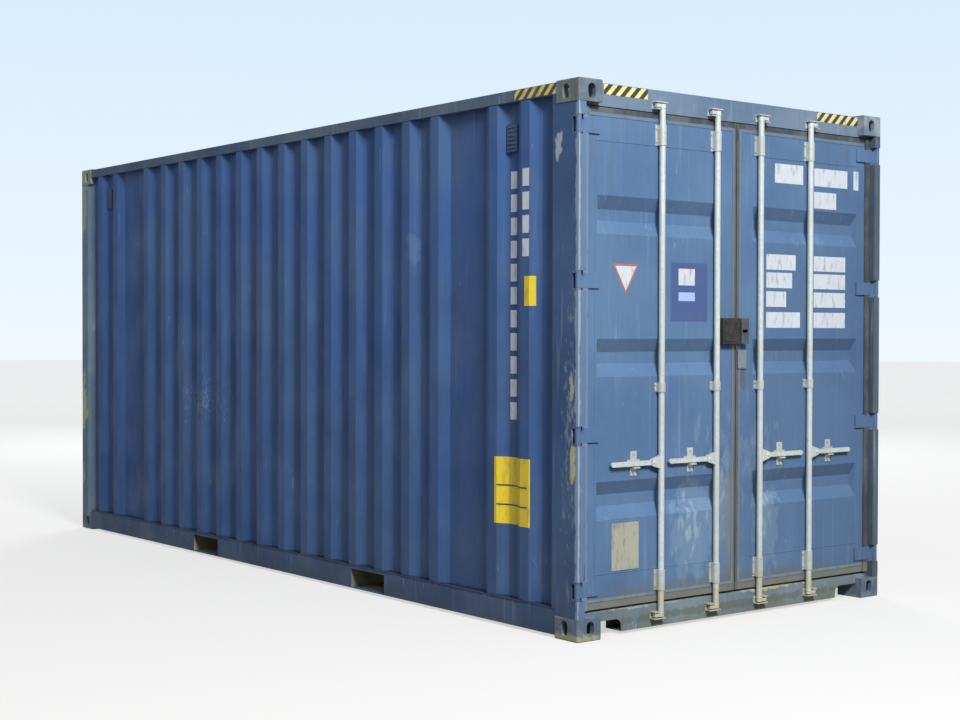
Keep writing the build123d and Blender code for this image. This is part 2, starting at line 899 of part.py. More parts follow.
def bar_hub(y):
    """The two cheeks that are welded to the bar at y, and the handle's pin between them."""
    gap = handle_thickness / 2 + hub_side_gap
    with BuildPart() as hub:
        for x in (bar_x - gap - hub_plate, bar_x + gap):
            with BuildSketch(Plane.YZ.offset(x)):
                with BuildLine():
                    Polyline(
                        (y, handle_z - hub_height / 2),
                        (y + hub_reach, handle_z - hub_tip_height / 2),
                        (y + hub_reach, handle_z + hub_tip_height / 2),
                        (y, handle_z + hub_height / 2),
                        close=True,
                    )
                make_face()
            extrude(amount=hub_plate)
        with BuildSketch(Plane.YZ.offset(bar_x - gap)):
            with Locations((y + handle_pivot_reach, handle_z)):
                Circle(handle_pin_radius)
        extrude(amount=2 * gap)
        with Locations((bar_x, y, handle_z)):
            Cylinder(bar_radius, 2 * hub_height, mode=Mode.SUBTRACT)
    return hub.part


def locking_bar(y):
    """One bar of the right leaf: a tube, with a cam welded on at each end and the handle's hub."""
    with BuildPart() as tube:
        with BuildSketch(Plane.XY.offset(bar_bottom)):
            with Locations((bar_x, y)):
                Circle(bar_radius)
                Circle(bar_bore_radius, mode=Mode.SUBTRACT)
        extrude(amount=bar_top - bar_bottom)
    low_cam = bar_cam(y, bar_bottom, bar_bottom)
    high_cam = bar_cam(y, bar_top - cam_thickness, bar_top - collar_height)
    pieces = (tube.part, low_cam, high_cam, bar_hub(y))
    return Compound([piece.solid() for piece in pieces])


def handle(y):
    """The flat handle of the bar at y, hung on the hub's pin and pointing to the hinges."""
    tip = y + handle_length
    with BuildPart() as lever:
        with BuildSketch(Plane.YZ.offset(bar_x - handle_thickness / 2)):
            with Locations((y + handle_pivot_reach, handle_z)):
                Circle(handle_eye_radius)
            with Locations(((y + handle_pivot_reach + tip - handle_height / 2) / 2, handle_z)):
                Rectangle(tip - handle_height / 2 - y - handle_pivot_reach, handle_height)
            with Locations((tip - handle_height / 2, handle_z)):
                Circle(handle_height / 2)
            with Locations((y + handle_pivot_reach, handle_z)):
                Circle(handle_pin_radius + handle_pin_gap, mode=Mode.SUBTRACT)
        extrude(amount=handle_thickness)
    return lever.part


def handle_catches():
    """The right leaf's catches: a cross-shaped plate with a ledge under each handle."""
    with BuildPart() as catches:
        for bar_y in bar_offsets:
            y = bar_y + catch_reach
            with BuildSketch(Plane.YZ.offset(skin_x)):
                with Locations((y, handle_z)):
                    Rectangle(catch_width, catch_height)
                    Rectangle(catch_arm_width, catch_arm_height)
            extrude(amount=catch_plate)
            ledge_top = handle_z - handle_height / 2 - catch_gap
            block(
                (skin_x, skin_x + catch_ledge_depth),
                (y - catch_width / 2, y + catch_width / 2),
                (ledge_top - catch_ledge, ledge_top),
            )
    return catches.part


def keeper(y, z, up):
    """One keeper: a plate with a long ear beyond the bar's end and a short one behind the cam."""
    reach = y + keeper_reach
    beyond = z + up * keeper_gap
    behind = z - up * (cam_thickness + keeper_gap)
    with BuildPart() as piece:
        block(
            (skin_x, skin_x + keeper_plate),
            (y - keeper_back_reach, reach),
            sorted((beyond + up * keeper_ear, behind - up * keeper_ear)),
        )
        block(
            (skin_x, skin_x + keeper_ear_depth),
            (y - keeper_back_reach, reach),
            sorted((beyond, beyond + up * keeper_ear)),
        )
        block(
            (skin_x, skin_x + keeper_ear_depth),
            (y + collar_radius + keeper_side_gap, reach),
            sorted((behind, behind - up * keeper_ear)),
        )
    return piece.part


def cam_keepers():
    """The eight keepers on the header and the sill."""
    with BuildPart() as keepers:
        for y in bar_offsets:
            add(keeper(y, bar_top, 1))
            add(keeper(y, bar_bottom, -1))
        mirror(about=Plane.XZ)
    return keepers.part


def lock_cover(y_start, y_end, slotted):
    """A lock cover on a leaf: a folded box, open below, with or without a key slot."""
    with BuildPart() as cover:
        block((skin_x, skin_x + lock_depth), (y_start, y_end), (lock_bottom, lock_top))
        block(
            (skin_x + lock_wall, skin_x + lock_depth - lock_wall),
            (y_start + lock_wall, y_end - lock_wall),
            (lock_bottom, lock_top - lock_wall),
            Mode.SUBTRACT,
        )
        if slotted:
            with BuildSketch(Plane.YZ.offset(skin_x + lock_depth)):
                with Locations(((y_start + y_end) / 2, (lock_bottom + lock_top) / 2)):
                    SlotOverall(lock_slot_length, lock_slot_height)
            extrude(amount=-lock_wall, mode=Mode.SUBTRACT)
    return cover.part


os.makedirs("parts", exist_ok=True)

castings_bottom = bottom_castings()
save(castings_bottom, "corner_castings_bottom")
save(mirrored(castings_bottom, Plane.XY.offset(height / 2)), "corner_castings_top")

# Pieces of the fixed frame that stand on both sides
for make, name in (
    (rear_post, "corner_post_rear"),
    (front_post, "corner_post_front"),
    (top_side_rail, "top_side_rail"),
    (bottom_side_rail, "bottom_side_rail"),
    (side_wall, "side_wall"),
):
    piece = make()
    save(piece, f"{name}_right")
    save(mirrored(piece, Plane.XZ), f"{name}_left")

# Pieces of the fixed frame that stand once
for make, name in (
    (hinge_lugs, "hinge_lugs"),
    (door_header, "door_header"),
    (door_sill, "door_sill"),
    (front_top_rail, "front_top_rail"),
    (front_bottom_rail, "front_bottom_rail"),
    (front_wall, "front_wall"),
    (roof, "roof"),
    (vents, "vents"),
    (floor, "floor"),
    (cross_members, "cross_members"),
    (cam_keepers, "cam_keepers"),
):
    save(make(), name)
for x, name in zip(pocket_centres(), ("fork_pocket_front", "fork_pocket_rear")):
    save(fork_pocket(x), name)

# Door leaves and what is fixed to them
for make, name in (
    (door_frame, "frame"),
    (door_panel, "panel"),
    (door_gasket, "gasket"),
    (bar_brackets, "bar_brackets"),
    (handle_catches, "handle_catches"),
):
    piece = make()
    save(piece, f"door_right_{name}")
    save(mirrored(piece, Plane.XZ), f"door_left_{name}")
save(lock_cover(lock_right_start, lock_right_end, True), "lock_box_right")
save(mirrored(lock_cover(lock_left_start, lock_left_end, False), Plane.XZ), "lock_box_left")

# Locking bars and handles, numbered from the left door's hinges
for right_number, y in zip((3, 4), bar_offsets):
    bar = locking_bar(y)
    lever = handle(y)
    save(bar, f"locking_bar_{right_number}")
    save(mirrored(bar, Plane.XZ), f"locking_bar_{5 - right_number}")
    save(lever, f"handle_{right_number}")
    save(mirrored(lever, Plane.XZ), f"handle_{5 - right_number}")
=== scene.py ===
"""Looks of a weathered 20 foot high-cube container: its finishes, small parts and studio."""

import logging
import math
from dataclasses import dataclass, field
from enum import Enum

import bmesh
import bpy
from mathutils import Matrix, Vector


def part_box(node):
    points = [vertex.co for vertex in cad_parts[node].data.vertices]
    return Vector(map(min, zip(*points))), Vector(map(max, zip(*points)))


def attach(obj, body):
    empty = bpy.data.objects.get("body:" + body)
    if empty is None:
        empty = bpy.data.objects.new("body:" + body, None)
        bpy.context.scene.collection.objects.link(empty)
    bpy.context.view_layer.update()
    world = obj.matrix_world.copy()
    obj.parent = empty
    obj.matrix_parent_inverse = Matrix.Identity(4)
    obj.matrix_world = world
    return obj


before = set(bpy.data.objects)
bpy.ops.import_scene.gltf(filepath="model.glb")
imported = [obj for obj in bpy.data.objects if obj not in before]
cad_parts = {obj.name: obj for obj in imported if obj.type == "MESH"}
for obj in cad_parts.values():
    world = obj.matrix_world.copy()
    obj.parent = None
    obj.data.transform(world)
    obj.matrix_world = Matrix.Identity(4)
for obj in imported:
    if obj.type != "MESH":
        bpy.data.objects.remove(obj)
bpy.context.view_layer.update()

log = logging.getLogger("container")
Socket = bpy.types.NodeSocket
Tree = bpy.types.NodeTree
Mesh = bmesh.types.BMesh
Pair = tuple[float, float]
Triple = tuple[float, float, float]
# the two ends, then the lower and the upper edge
Rect = tuple[float, float, float, float]
# points (x, y) along the length
Line = list[Pair]
# a head's radius at its foot, and how far it stands out
Head = Pair

# Where the construction's faces and fittings are, in metres
ROOT = "container"
SKIN_X = 2.984
FRAME_Y = 1.216
STRIPES_Z = (2.831, 2.885)
BAR_Y = (0.177, 0.602)
HANDLE_Z = 0.9
SIDES = {"left": -1, "right": 1}
OUT_OF_DOOR = Vector((1, 0, 0))

# How small things are drawn
FILM_THICK = 0.0008
HEX, ROUND = 6, 10
HEX_TAPER, ROUND_TAPER = 0.86, 0.55
BEAD_RADIUS, BEAD_SIDES = 0.0025, 8
SMOOTH_BELOW = math.radians(40)
SAME_PLACE = 1e-4

# How patterns are drawn
NOISE_ROUGHNESS = 0.55
NOISE_MIDDLE = 0.5
SHIFT_WAY = (1.0, 0.7, 1.3)
# what is added to a pattern's value at one reach from its centre
FADE = -0.5
# a reach so long that nothing fades along that axis
FAR = 1000.0
# a reach that goes all round the container
WHOLE = 9.0
# how wide the clouds of dull and shiny are, and how deep the pits
GLOSS_MM = 300
PIT_MM = 1.0

# A mix node's colour sockets, by number because its other kinds have the same names
MIX_SHARE, MIX_UNDER, MIX_OVER, MIX_RESULT = 0, 6, 7, 2


# Helpers for colours, nodes and meshes


def hex_to_linear(code: str) -> tuple[float, float, float, float]:
    """Turns an sRGB hex colour to linear RGBA.

    Args:
        code: six hex digits, with or without a leading #.

    Returns:
        The colour as four floats, alpha 1.
    """
    digits = code.lstrip("#")
    channels = [int(digits[i : i + 2], 16) / 255 for i in (0, 2, 4)]
    linear = [c / 12.92 if c <= 0.04045 else ((c + 0.055) / 1.055) ** 2.4 for c in channels]
    return (linear[0], linear[1], linear[2], 1.0)


def add_node(
    tree: Tree,
    kind: str,
    settings: dict[str | int, object] | None = None,
    links: dict[str | int, Socket] | None = None,
) -> bpy.types.Node:
    """Adds a node, sets its properties and socket values, and links its inputs.

    Args:
        tree: the node tree that gets the node.
        kind: the node's bl_idname.
        settings: property names, or input names or numbers, with their values.
        links: input names or numbers, with the sockets that feed them.

    Returns:
        The new node.
    """
    node = tree.nodes.new(kind)
    for key, value in (settings or {}).items():
        if isinstance(key, int) or key in node.inputs:
            node.inputs[key].default_value = value
        else:
            setattr(node, key, value)
    for key, source in (links or {}).items():
        tree.links.new(source, node.inputs[key])
    return node


def calculate(tree: Tree, operation: str, *values: Socket | float) -> Socket:
    """Calculates with one math node.

    Args:
        tree: the node tree.
        operation: what the node does.
        values: its inputs in order, each a socket or a number.

    Returns:
        The result.
    """
    numbers = {i: value for i, value in enumerate(values) if not isinstance(value, Socket)}
    sockets = {i: value for i, value in enumerate(values) if isinstance(value, Socket)}
    return add_node(tree, "ShaderNodeMath", {"operation": operation, **numbers}, sockets).outputs[0]


def ramp(tree: Tree, value: Socket, start: Pair, end: Pair = (0.0, 1.0),
         smooth: bool = False) -> Socket:
    """Maps one range of a value to another, and keeps it inside.

    Args:
        tree: the node tree.
        value: the value.
        start: the range that it comes from.
        end: the range that it goes to.
        smooth: whether it eases in and out.

    Returns:
        The mapped value.
    """
    settings: dict[str | int, object] = {
        "From Min": start[0], "From Max": start[1], "To Min": end[0], "To Max": end[1],
    }
    if smooth:
        settings["interpolation_type"] = "SMOOTHSTEP"
    return add_node(tree, "ShaderNodeMapRange", settings, {"Value": value}).outputs["Result"]


def mix_colours(tree: Tree, share: Socket, under: Socket | str, over: Socket | str) -> Socket:
    """Lays one colour over another.

    Args:
        tree: the node tree.
        share: how much of the upper one shows.
        under: the lower colour, a socket or a hex code.
        over: the upper colour, a socket or a hex code.

    Returns:
        The mixed colour.
    """
    settings: dict[str | int, object] = {"data_type": "RGBA"}
    links: dict[str | int, Socket] = {MIX_SHARE: share}
    for number, colour in ((MIX_UNDER, under), (MIX_OVER, over)):
        if isinstance(colour, str):
            settings[number] = hex_to_linear(colour)
        else:
            links[number] = colour
    return add_node(tree, "ShaderNodeMix", settings, links).outputs[MIX_RESULT]


def add_bump(tree: Tree, height: Socket, below: Socket | None, strength: float, depth_mm: float,
             sunk: bool = False) -> Socket:
    """Presses a height into the normal.

    Args:
        tree: the node tree.
        height: the height, 0 to 1.
        below: the normal with the coarser relief, if any.
        strength: how much of it shows.
        depth_mm: how deep it is.
        sunk: whether its high places lie low.

    Returns:
        The new normal.
    """
    settings = {"Strength": strength, "Distance": depth_mm / 1000, "invert": sunk}
    links = {"Height": height, "Normal": below} if below else {"Height": height}
    return add_node(tree, "ShaderNodeBump", settings, links).outputs["Normal"]


def span(sign: int, near: float, far: float) -> Pair:
    """Two distances from the middle plane as places on one side, the lower first."""
    low, high = sorted((sign * near, sign * far))
    return low, high


def add_block(mesh: Mesh, low: Triple, high: Triple, bevel: float = 0.0) -> None:
    """Adds a box between two corners, with bevelled edges if asked.

    Args:
        mesh: the mesh that gets the box.
        low: its lowest corner.
        high: its highest corner.
        bevel: the width of the bevel, 0 for none.
    """
    size = [b - a for a, b in zip(low, high)]
    middle = [(a + b) / 2 for a, b in zip(low, high)]
    place = Matrix.Translation(middle) @ Matrix.Diagonal((*size, 1))
    made = bmesh.ops.create_cube(mesh, size=1, matrix=place)["verts"]
    if bevel > 0:
        edges = list({edge for vertex in made for edge in vertex.link_edges})
        bmesh.ops.bevel(mesh, geom=edges, offset=bevel, affect="EDGES", segments=2, profile=0.5,
                        material=-1)


def add_head(mesh: Mesh, foot: Triple, axis: Vector, head: Head, sides: int = HEX) -> None:
    """Adds a bolt head or rivet that stands on a surface.

    Args:
        mesh: the mesh that gets the head.
        foot: the middle of its foot.
        axis: the way it stands out.
        head: its radius there, and how far it stands out.
        sides: HEX for a hexagon head, more for a rivet.
    """
    radius, tall = head
    turn = Vector((0, 0, 1)).rotation_difference(axis).to_matrix().to_4x4()
    place = Matrix.Translation(Vector(foot) + axis * tall / 2) @ turn
    top = radius * (HEX_TAPER if sides == HEX else ROUND_TAPER)
    bmesh.ops.create_cone(mesh, cap_ends=True, segments=sides, radius1=radius, radius2=top,
                          depth=tall, matrix=place)


def bead_along(mesh: Mesh, centre: Triple, axis: Vector, length: float) -> None:
    """Adds a round weld bead along a line, of which half stands out.

    Args:
        mesh: the mesh that gets the bead.
        centre: the middle of the line.
        axis: the line's direction.
        length: how long it is.
    """
    turn = Vector((0, 0, 1)).rotation_difference(axis).to_matrix().to_4x4()
    place = Matrix.Translation(centre) @ turn
    bmesh.ops.create_cone(mesh, cap_ends=True, segments=BEAD_SIDES, radius1=BEAD_RADIUS,
                          radius2=BEAD_RADIUS, depth=length, matrix=place)


# What a finish is made of


class Draw(Enum):
    """How a pattern is drawn."""

    CLOUDS = "clouds"
    RIDGES = "ridges"
    CELLS = "cells"
    STRIPES = "stripes"


@dataclass(frozen=True)
class Pattern:
    """A pattern of a real size, cut to a share with soft edges.

    It shows by least where its value is low, by share where it is high, and eases over in between.
    With a centre, it fades away from there over reach. The way is how many times longer a feature
    is along each axis, or for stripes the line across them.
    """

    feature_mm: float
    low: float = 0.4
    high: float = 0.7
    share: float = 1.0
    least: float = 0.0
    way: Triple = (1.0, 1.0, 1.0)
    detail: float = 4.0
    shift: float = 0.0
    draw: Draw = Draw.CLOUDS
    centre: Triple | None = None
    reach: Triple = (1.0, 1.0, 1.0)

    def value(self, tree: Tree, place: Socket) -> Socket:
        """Draws the pattern before it is cut.

        Args:
            tree: the material's tree.
            place: object coordinates, in metres.

        Returns:
            Its value: metres from a stripe's start, else about 0.5 on average.
        """
        size = self.feature_mm / 1000
        if self.draw is Draw.STRIPES:
            across = {"operation": "DOT_PRODUCT", 1: self.way}
            run = add_node(tree, "ShaderNodeVectorMath", across, {0: place}).outputs["Value"]
            return calculate(tree, "PINGPONG", run, size)
        squeeze = {
            "Scale": tuple(1 / times for times in self.way),
            "Location": tuple(self.shift * step for step in SHIFT_WAY),
        }
        local = add_node(tree, "ShaderNodeMapping", squeeze, {"Vector": place}).outputs[0]
        if self.draw is Draw.CELLS:
            cells = add_node(tree, "ShaderNodeTexVoronoi", {"Scale": 1 / size}, {"Vector": local})
            return cells.outputs["Color"]
        noise = {"Scale": 1 / size, "Detail": self.detail, "Roughness": NOISE_ROUGHNESS}
        cloud = add_node(tree, "ShaderNodeTexNoise", noise, {"Vector": local}).outputs["Fac"]
        if self.draw is Draw.RIDGES:
            return calculate(tree, "PINGPONG", cloud, NOISE_MIDDLE)
        return cloud

    def cut(self, tree: Tree, place: Socket) -> Socket:
        """Cuts the pattern to its share.

        Args:
            tree: the material's tree.
            place: object coordinates.

        Returns:
            How much of the pattern shows.
        """
        value = self.value(tree, place)
        if self.centre:
            around = {
                "Scale": tuple(1 / r for r in self.reach),
                "Location": tuple(-c / r for c, r in zip(self.centre, self.reach)),
            }
            local = add_node(tree, "ShaderNodeMapping", around, {"Vector": place}).outputs[0]
            length = add_node(tree, "ShaderNodeVectorMath", {"operation": "LENGTH"}, {0: local})
            value = calculate(tree, "MULTIPLY_ADD", length.outputs["Value"], FADE, value)
        smooth = self.low < self.high
        return ramp(tree, value, (self.low, self.high), (self.least, self.share), smooth)


@dataclass(frozen=True)
class Coat:
    """One colour over those below it, where its pattern shows, and its mask too if it has one."""

    colour: str
    pattern: Pattern
    mask: Pattern | None = None

    def share(self, tree: Tree, place: Socket) -> Socket:
        """Works out where the coat shows.

        Args:
            tree: the material's tree.
            place: object coordinates.

        Returns:
            How much of the coat shows.
        """
        share = self.pattern.cut(tree, place)
        if self.mask:
            return calculate(tree, "MULTIPLY", share, self.mask.cut(tree, place))
        return share


@dataclass(frozen=True)
class Relief:
    """Surface relief too fine for the mesh, such as cast grain or the peel of sprayed paint."""

    feature_mm: float
    strength: float
    depth_mm: float
    detail: float = 3.0
    shift: float = 0.0

    def press(self, tree: Tree, place: Socket, below: Socket | None) -> Socket:
        """Presses the relief into the surface.

        Args:
            tree: the material's tree.
            place: object coordinates.
            below: the normal with the coarser relief, if any.

        Returns:
            The new normal.
        """
        height = Pattern(self.feature_mm, detail=self.detail, shift=self.shift).value(tree, place)
        return add_bump(tree, height, below, self.strength, self.depth_mm)


@dataclass(frozen=True)
class Finish:
    """A ground colour with coats over it, a sheen and a relief, the coarsest first."""

    name: str
    ground: str
    roughness: float = 0.6
    sheen: float = 0.0
    metallic: float = 0.0
    specular: float = 0.5
    pitted: float = 0.0
    reliefs: tuple[Relief, ...] = ()

    def coats(self) -> tuple[Coat, ...]:
        """The colours over the ground, the lowest first. Each kind of finish says its own."""
        raise NotImplementedError

    def build(self) -> bpy.types.Material:
        """Builds the node material.

        Returns:
            The material.
        """
        material = bpy.data.materials.new(self.name)
        material.use_nodes = True
        tree = material.node_tree
        shader = tree.nodes["Principled BSDF"]
        place = add_node(tree, "ShaderNodeTexCoord").outputs["Object"]
        colour: Socket | str = self.ground
        share: Socket | None = None
        for coat in self.coats():
            share = coat.share(tree, place)
            colour = mix_colours(tree, share, colour, coat.colour)
        tree.links.new(colour, shader.inputs["Base Color"])
        shader.inputs["Metallic"].default_value = self.metallic
        shader.inputs["Specular IOR Level"].default_value = self.specular
        shader.inputs["Roughness"].default_value = self.roughness
        if self.sheen > 0:
            dull, shiny = self.roughness + self.sheen, self.roughness - self.sheen
            gloss = Pattern(GLOSS_MM, low=0.3, high=0.7, share=dull, least=shiny, shift=2.2)
            tree.links.new(gloss.cut(tree, place), shader.inputs["Roughness"])
        normal: Socket | None = None
        for relief in self.reliefs:
            normal = relief.press(tree, place, normal)
        if self.pitted > 0 and share:
            # the last coat is what shows in the pits, so it lies lower than the rest
            normal = add_bump(tree, share, normal, self.pitted, PIT_MM, sunk=True)
        if normal:
            tree.links.new(normal, shader.inputs["Normal"])
        return material


def stain(centre: Triple, reach: Triple, colour: str, share: float = 0.7,
          grain_mm: float = 45.0) -> Coat:
    """A stain or a rubbed patch in one place, with a ragged edge.

    Args:
        centre: its middle.
        reach: how far it goes along each axis.
        colour: its hex colour.
        share: how much of it shows in its middle.
        grain_mm: the size of the ragged edge's features.

    Returns:
        The coat.
    """
    edge = Pattern(grain_mm, 0.05, 0.225, share, way=(1, 1, 1.6), detail=6, shift=centre[2],
                   centre=centre, reach=reach)
    return Coat(colour, edge)


def band(height: float, reach: float, colour: str, share: float) -> Coat:
    """A stain at one height all round the container, such as mud from the ground, and also the
    painted shade along a seam.
    """
    return stain((0.0, 0.0, height), (WHOLE, WHOLE, reach), colour, share, 60)


def speckle(centre: Triple, reach: Triple, colour: str, share: float, grain_mm: float) -> Coat:
    """Small scuffs, dense in one place and sparse around it.

    Args:
        centre: the middle of the scuffed area.
        reach: how far it goes along each axis.
        colour: the scuffs' hex colour.
        share: how much of it shows.
        grain_mm: the size of a scuff.

    Returns:
        The coat.
    """
    spots = Pattern(grain_mm, 0.36, 0.6, share, way=(1, 1, 2.6), detail=7, shift=centre[2] + 3,
                    centre=centre, reach=reach)
    return Coat(colour, spots)


# Kinds of finish


@dataclass(frozen=True)
class MarinePaint(Finish):
    """Alkyd paint on pressed steel: chalked, so little gloss is left, streaked by rain, chipped."""

    faded: str = "#5375A3"
    dirt: str = "#5A594F"
    rust: str = "#6B3F28"
    chalk: str = "#C8D4E1"
    streaks: float = 0.35
    rusting: float = 0.4
    scratches: float = 0.35
    # how high and how strongly dirt from the ground shows; on the long sides it is painted shade,
    # darker towards the bottom
    grime_and_shade_top: float = 0.5
    grime_and_shade: float = 0.35
    roughness: float = 0.6
    sheen: float = 0.1
    specular: float = 0.22
    pitted: float = 0.4
    marks: tuple[Coat, ...] = ()
    # shallow dents, and the paint's peel: about 3 mm, drawn at 9 mm so that it shows
    reliefs: tuple[Relief, ...] = (
        Relief(feature_mm=420, strength=0.35, depth_mm=6, detail=1.0, shift=4.4),
        Relief(feature_mm=9, strength=0.12, depth_mm=1),
    )

    def fading(self) -> tuple[Coat, ...]:
        """Sun-faded clouds, wide and small, with dark and chalky rain streaks down them."""
        return (
            Coat(self.faded, Pattern(900, 0.38, 0.66, detail=5)),
            Coat(self.faded, Pattern(60, 0.45, 0.75, 0.3, detail=6, shift=3.1)),
            Coat(self.dirt, Pattern(35, 0.52, 0.75, self.streaks, way=(1, 1, 30), shift=7.7)),
            Coat(self.chalk, Pattern(28, 0.58, 0.8, self.streaks * 0.7, way=(1, 1, 24), shift=1.9)),
        )

    def wear(self) -> tuple[Coat, ...]:
        """Dirt thrown up from the ground, and groups of thin upright scratches. Where the dirt
        colour is a dark blue of the paint, as on the long sides, this is painted shade, darker
        towards the bottom.
        """
        splash_and_shade = Pattern(140, -0.1, 0.62, self.grime_and_shade, way=(1, 1, 2), shift=5, centre=(0, 0, 0),
                           reach=(FAR, FAR, self.grime_and_shade_top))
        thin = Pattern(90, 0.494, 0.499, self.scratches * 0.4, way=(1, 1, 14), detail=1, shift=9.2,
                       draw=Draw.RIDGES)
        return (
            Coat(self.dirt, splash_and_shade),
            Coat(self.chalk, thin, mask=Pattern(120, 0.54, 0.66, shift=8.8)),
        )

    def chips(self) -> Coat:
        """Small sharp chips down to rust, in groups. More rusting makes them more and wider."""
        edge = 0.76 - 0.08 * self.rusting
        spots = Pattern(32, edge, edge + 0.03, self.rusting + 0.3, detail=7, shift=11.0)
        return Coat(self.rust, spots, mask=Pattern(420, 0.5, 0.62, detail=3, shift=12.0))

    def coats(self) -> tuple[Coat, ...]:
        """Fading, streaks, dirt and scratches, then the local marks, with the chips on top."""
        return (*self.fading(), *self.wear(), *self.marks, self.chips())


@dataclass(frozen=True)
class ZincCoat(Finish):
    """Hot-dip galvanised steel gone dull: pale grey, faint spangle, yellow drips."""

    ground: str = "#CFD6D2"
    dull: str = "#B3B9B6"
    drip: str = "#8F7E5C"
    rust: str = "#6B4327"
    mud: str = "#B9AF7C"
    spangle_mm: float = 18.0
    wear: float = 0.4
    splash: float = 0.5
    roughness: float = 0.5
    sheen: float = 0.08
    metallic: float = 0.2
    # the zinc's slight unevenness
    reliefs: tuple[Relief, ...] = (Relief(feature_mm=11, strength=0.25, depth_mm=0.8, detail=4.0),)

    def coats(self) -> tuple[Coat, ...]:
        """Spangle, dull clouds, drips, rust spots and the yellow splash near the ground."""
        return (
            Coat(self.dull, Pattern(self.spangle_mm, 0.1, 0.9, 0.4, draw=Draw.CELLS)),
            Coat(self.dull, Pattern(160, 0.42, 0.7, 0.45, way=(1, 1, 3), shift=2.0)),
            Coat(self.drip, Pattern(14, 0.56, 0.78, 0.5 * self.wear, way=(1, 1, 18), shift=5.1)),
            Coat(self.rust, Pattern(22, 0.68, 0.74, self.wear, detail=6, shift=8.1)),
            band(0.08, 0.26, self.mud, self.splash),
        )


@dataclass(frozen=True)
class WornCastSteel(Finish):
    """Sand-cast steel with thin paint rubbed off: grainy skin, olive grey, rust in the pits."""

    bare: str = "#939CA1"
    dust: str = "#A5A598"
    rust: str = "#716355"
    roughness: float = 0.72
    marks: tuple[Coat, ...] = ()
    # the grain of the sand mould
    reliefs: tuple[Relief, ...] = (Relief(feature_mm=7, strength=0.5, depth_mm=1.5, detail=5.0),)

    def coats(self) -> tuple[Coat, ...]:
        """Bare steel where it is rubbed, dust, the local marks and rusty pits."""
        return (
            Coat(self.bare, Pattern(70, 0.42, 0.62, detail=6)),
            Coat(self.dust, Pattern(15, 0.55, 0.75, 0.35, shift=7.0)),
            *self.marks,
            Coat(self.rust, Pattern(34, 0.56, 0.72, 0.7, detail=7, shift=4.0)),
        )


@dataclass(frozen=True)
class SealRubber(Finish):
    """Extruded EPDM rubber: near black, dull, with pale dust and brown dirt in its grooves."""

    dust: str = "#64696C"
    dirt: str = "#534F46"
    roughness: float = 0.8
    marks: tuple[Coat, ...] = ()
    # the skin of the extrusion
    reliefs: tuple[Relief, ...] = (Relief(feature_mm=12, strength=0.3, depth_mm=1),)

    def coats(self) -> tuple[Coat, ...]:
        """Dust, dirt and the local marks."""
        return (
            Coat(self.dust, Pattern(120, 0.4, 0.7, 0.8, way=(1, 1, 2), detail=5)),
            Coat(self.dirt, Pattern(40, 0.55, 0.75, 0.5, detail=5, shift=3.3)),
            *self.marks,
        )


@dataclass(frozen=True)
class FloorPlywood(Finish):
    """Marine plywood in long sheets: straight grain, scuffed, dark at the joints."""

    dark: str = "#533D2A"
    scuff: str = "#A38966"
    joint: str = "#251D17"
    sheet_mm: Pair = (2400.0, 1166.0)
    roughness: float = 0.7
    # raised grain and boot marks
    reliefs: tuple[Relief, ...] = (Relief(feature_mm=30, strength=0.15, depth_mm=0.6),)

    def coats(self) -> tuple[Coat, ...]:
        """Grain, scuffs and the joints between the sheets."""
        joints = [
            Coat(self.joint, Pattern(pitch / 2, 0.004, 0.002, way=way, draw=Draw.STRIPES))
            for pitch, way in zip(self.sheet_mm, ((1, 0, 0), (0, 1, 0)))
        ]
        return (
            Coat(self.dark, Pattern(6, 0.35, 0.7, way=(40, 1, 1), detail=6)),
            Coat(self.scuff, Pattern(240, 0.5, 0.7, 0.6, way=(3, 1, 1), detail=6, shift=4.0)),
            *joints,
        )


@dataclass(frozen=True)
class Underseal(Finish):
    """Wax-bitumen underseal: black-brown, dull, road dust on it."""

    dust: str = "#666259"
    roughness: float = 0.75
    # runs of the brushed coat
    reliefs: tuple[Relief, ...] = (Relief(feature_mm=25, strength=0.4, depth_mm=2, detail=4.0),)

    def coats(self) -> tuple[Coat, ...]:
        """Road dust."""
        return (Coat(self.dust, Pattern(200, 0.4, 0.7, detail=6)),)


@dataclass(frozen=True)
class VinylFilm(Finish):
    """Self-adhesive vinyl: even colour, smooth, a little sun-bleached, dirt at its surface."""

    second: str = "#1C1C1A"
    soot: str = "#5A5A50"
    stripe_mm: float = 0.0
    way: Triple = (0.0, 1.0, -1.0)
    dirt: float = 0.35
    roughness: float = 0.45
    # ripples of the glued film
    reliefs: tuple[Relief, ...] = (Relief(feature_mm=18, strength=0.15, depth_mm=0.6),)

    def coats(self) -> tuple[Coat, ...]:
        """Stripes or bleached clouds, then dirt."""
        second = Pattern(90, 0.4, 0.7, 0.35)
        if self.stripe_mm > 0:
            half, soft = self.stripe_mm / 2000, 0.001
            second = Pattern(self.stripe_mm, half - soft, half + soft, way=self.way,
                             draw=Draw.STRIPES)
        dirt = Pattern(26, 0.5, 0.72, self.dirt, way=(1, 1, 3), detail=6, shift=2.5)
        return (Coat(self.second, second), Coat(self.soot, dirt))


@dataclass(frozen=True)
class RustedSteel(Finish):
    """Paint long gone: layered brown-black scale, rough and matt."""

    scale: str = "#342E2A"
    bloom: str = "#564A41"
    roughness: float = 0.85
    # flaking crust
    reliefs: tuple[Relief, ...] = (Relief(feature_mm=8, strength=0.6, depth_mm=1.5, detail=6.0),)

    def coats(self) -> tuple[Coat, ...]:
        """Scale and fresh bloom."""
        return (
            Coat(self.scale, Pattern(40, 0.38, 0.66, detail=8)),
            Coat(self.bloom, Pattern(14, 0.58, 0.72, 0.45, detail=5, shift=3.0)),
        )


